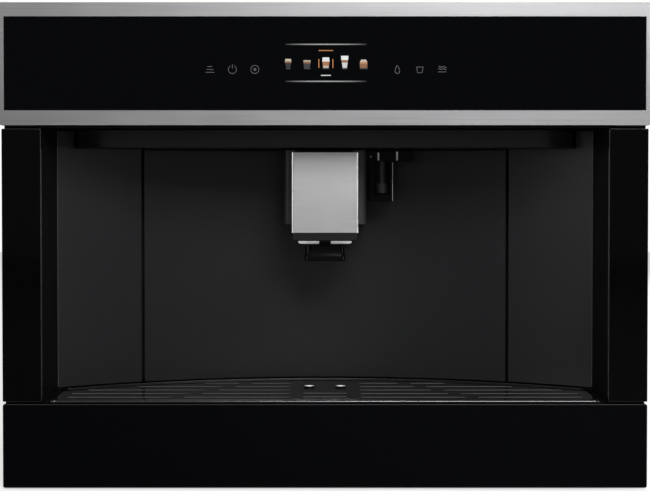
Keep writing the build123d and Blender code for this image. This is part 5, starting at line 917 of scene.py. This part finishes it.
def white_share(nodes, links, strength):
    """1 for rays from the camera or through a clear surface, the strength for mirrored rays, 0 for others."""
    path = nodes.new("ShaderNodeLightPath")
    first = nodes.new("ShaderNodeMath")
    first.operation = "MAXIMUM"
    links.new(path.outputs["Is Camera Ray"], first.inputs[0])
    links.new(path.outputs["Is Transmission Ray"], first.inputs[1])
    second = nodes.new("ShaderNodeMath")
    second.operation = "MAXIMUM"
    links.new(first.outputs[0], second.inputs[0])
    soft = nodes.new("ShaderNodeMath")
    soft.operation = "MULTIPLY"
    soft.inputs[1].default_value = strength
    links.new(path.outputs["Is Glossy Ray"], soft.inputs[0])
    links.new(soft.outputs[0], second.inputs[1])
    return second


class COFFEE_OT_stage(Operator):
    """Set the pale floor, the soft lamps, the room and the camera"""

    bl_idname = "coffee.stage"
    bl_label = "Stage"

    def execute(self, context):
        studio = settings("coffee_studio")
        scene = context.scene
        scene.view_settings.view_transform = "Standard"
        # floor
        material, nodes, links, shader = node_tree("pale floor")
        set_shader(shader, {"Roughness": 0.6, "Specular IOR Level": 0.2})
        path = nodes.new("ShaderNodeLightPath")
        pale = nodes.new("ShaderNodeMix")
        pale.data_type = "RGBA"
        pale.inputs["A"].default_value = (0.80, 0.80, 0.80, 1)
        pale.inputs["B"].default_value = (0.10, 0.10, 0.10, 1)
        links.new(path.outputs["Is Glossy Ray"], pale.inputs["Factor"])
        links.new(pale.outputs["Result"], shader.inputs["Base Color"])
        shader.inputs["Emission Color"].default_value = (1, 1, 1, 1)
        shine = nodes.new("ShaderNodeMath")
        shine.operation = "MULTIPLY"
        shine.inputs[1].default_value = studio.floor_glow
        links.new(path.outputs["Is Camera Ray"], shine.inputs[0])
        links.new(shine.outputs[0], shader.inputs["Emission Strength"])
        side = np.linspace(-4, 4, 9)
        x, y = np.meshgrid(side, side)
        points = path_of(x, y, -0.4 * MM).reshape(-1, 3)
        mesh = bpy.data.meshes.new("floor")
        mesh.from_pydata(points.tolist(), [], grid_faces(9, 9).tolist())
        floor = bpy.data.objects.new("floor", mesh)
        context.collection.objects.link(floor)
        mesh.materials.append(material)
        # room
        world = bpy.data.worlds.new("room")
        world.use_nodes = True
        scene.world = world
        nodes, links = world.node_tree.nodes, world.node_tree.links
        background = nodes["Background"]
        background.inputs["Color"].default_value = (1, 1, 1, 1)
        share = white_share(nodes, links, 0.04)
        level = nodes.new("ShaderNodeMapRange")
        level.inputs["To Min"].default_value = studio.room
        level.inputs["To Max"].default_value = 1.0
        links.new(share.outputs[0], level.inputs["Value"])
        links.new(level.outputs["Result"], background.inputs["Strength"])
        # lamps
        middle = (0, FRONT, 0.25)
        area_lamp("key lamp", (0.56, FRONT - 2.0, 1.50), middle, (1.0, 0.7), studio.key_power)
        area_lamp("fill lamp", (-1.9, FRONT - 1.4, 0.8), middle, (0.8, 1.2), studio.fill_power)
        area_lamp("middle lamp", (0.0, FRONT - 1.3, 1.40), middle, (0.30, 0.30), 3 * studio.fill_power)
        low_lamp = (0.0, FRONT - 0.8, 0.05)
        area_lamp("low lamp", low_lamp, (0, FRONT, 0.14), (0.30, 0.08), studio.low_power)
        area_lamp("rear lamp", (0.9, FRONT + 2.4, 1.3), (0, FRONT + 0.4, 0.2), (1.2, 0.8), studio.rear_power)
        for side, name in ((-1, "left lamp"), (1, "right lamp")):
            place = (side * 2.2, FRONT - 0.6, 0.28)
            area_lamp(name, place, (-side * 0.2, FRONT, 0.22), (0.5, 0.7), studio.side_power)
        area_lamp("top lamp", (0.0, FRONT + 0.6, 2.2), middle, (1.6, 1.2), studio.fill_power)
        # camera
        data = bpy.data.cameras.new("camera")
        data.lens = studio.lens
        data.sensor_width = 36
        data.shift_y = studio.shift
        camera = bpy.data.objects.new("camera", data)
        camera.location = (0, FRONT - studio.distance, studio.eye)
        camera.rotation_euler = (math.pi / 2 - studio.down, 0, 0)
        context.collection.objects.link(camera)
        scene.camera = camera
        return {"FINISHED"}


class COFFEE_PT_machine(Panel):
    """Sizes, colours and steps of the coffee machine"""

    bl_idname = "COFFEE_PT_machine"
    bl_label = "Coffee machine"
    bl_space_type = "VIEW_3D"
    bl_region_type = "UI"
    bl_category = "Coffee machine"

    def draw(self, context):
        layout = self.layout
        for name, kind in SETTINGS:
            box = layout.box()
            for key in kind.__annotations__:
                box.prop(getattr(context.scene, name), key)
        for step in STEPS:
            layout.operator(step.bl_idname)


SETTINGS = (
    ("coffee_colours", CoffeeColours),
    ("coffee_display", CoffeeDisplay),
    ("coffee_trim", CoffeeTrim),
    ("coffee_studio", CoffeeStudio),
)
STEPS = (
    COFFEE_OT_stage,
    COFFEE_OT_finishes,
    COFFEE_OT_display,
    COFFEE_OT_touch_keys,
    COFFEE_OT_glass_edges,
    COFFEE_OT_grid_rims,
    COFFEE_OT_outlets,
    COFFEE_OT_nozzle_trim,
    COFFEE_OT_fasteners,
)
CLASSES = (*[kind for _, kind in SETTINGS], *STEPS, COFFEE_PT_machine)


def register():
    for kind in CLASSES:
        bpy.utils.register_class(kind)
    for name, kind in SETTINGS:
        setattr(bpy.types.Scene, name, PointerProperty(type=kind))


def unregister():
    for name, kind in SETTINGS:
        delattr(bpy.types.Scene, name)
    for kind in reversed(CLASSES):
        bpy.utils.unregister_class(kind)


def main():
    register()
    for step in STEPS:
        group, operator = step.bl_idname.split(".")
        getattr(getattr(bpy.ops, group), operator)()


if __name__ == "__main__":
    main()
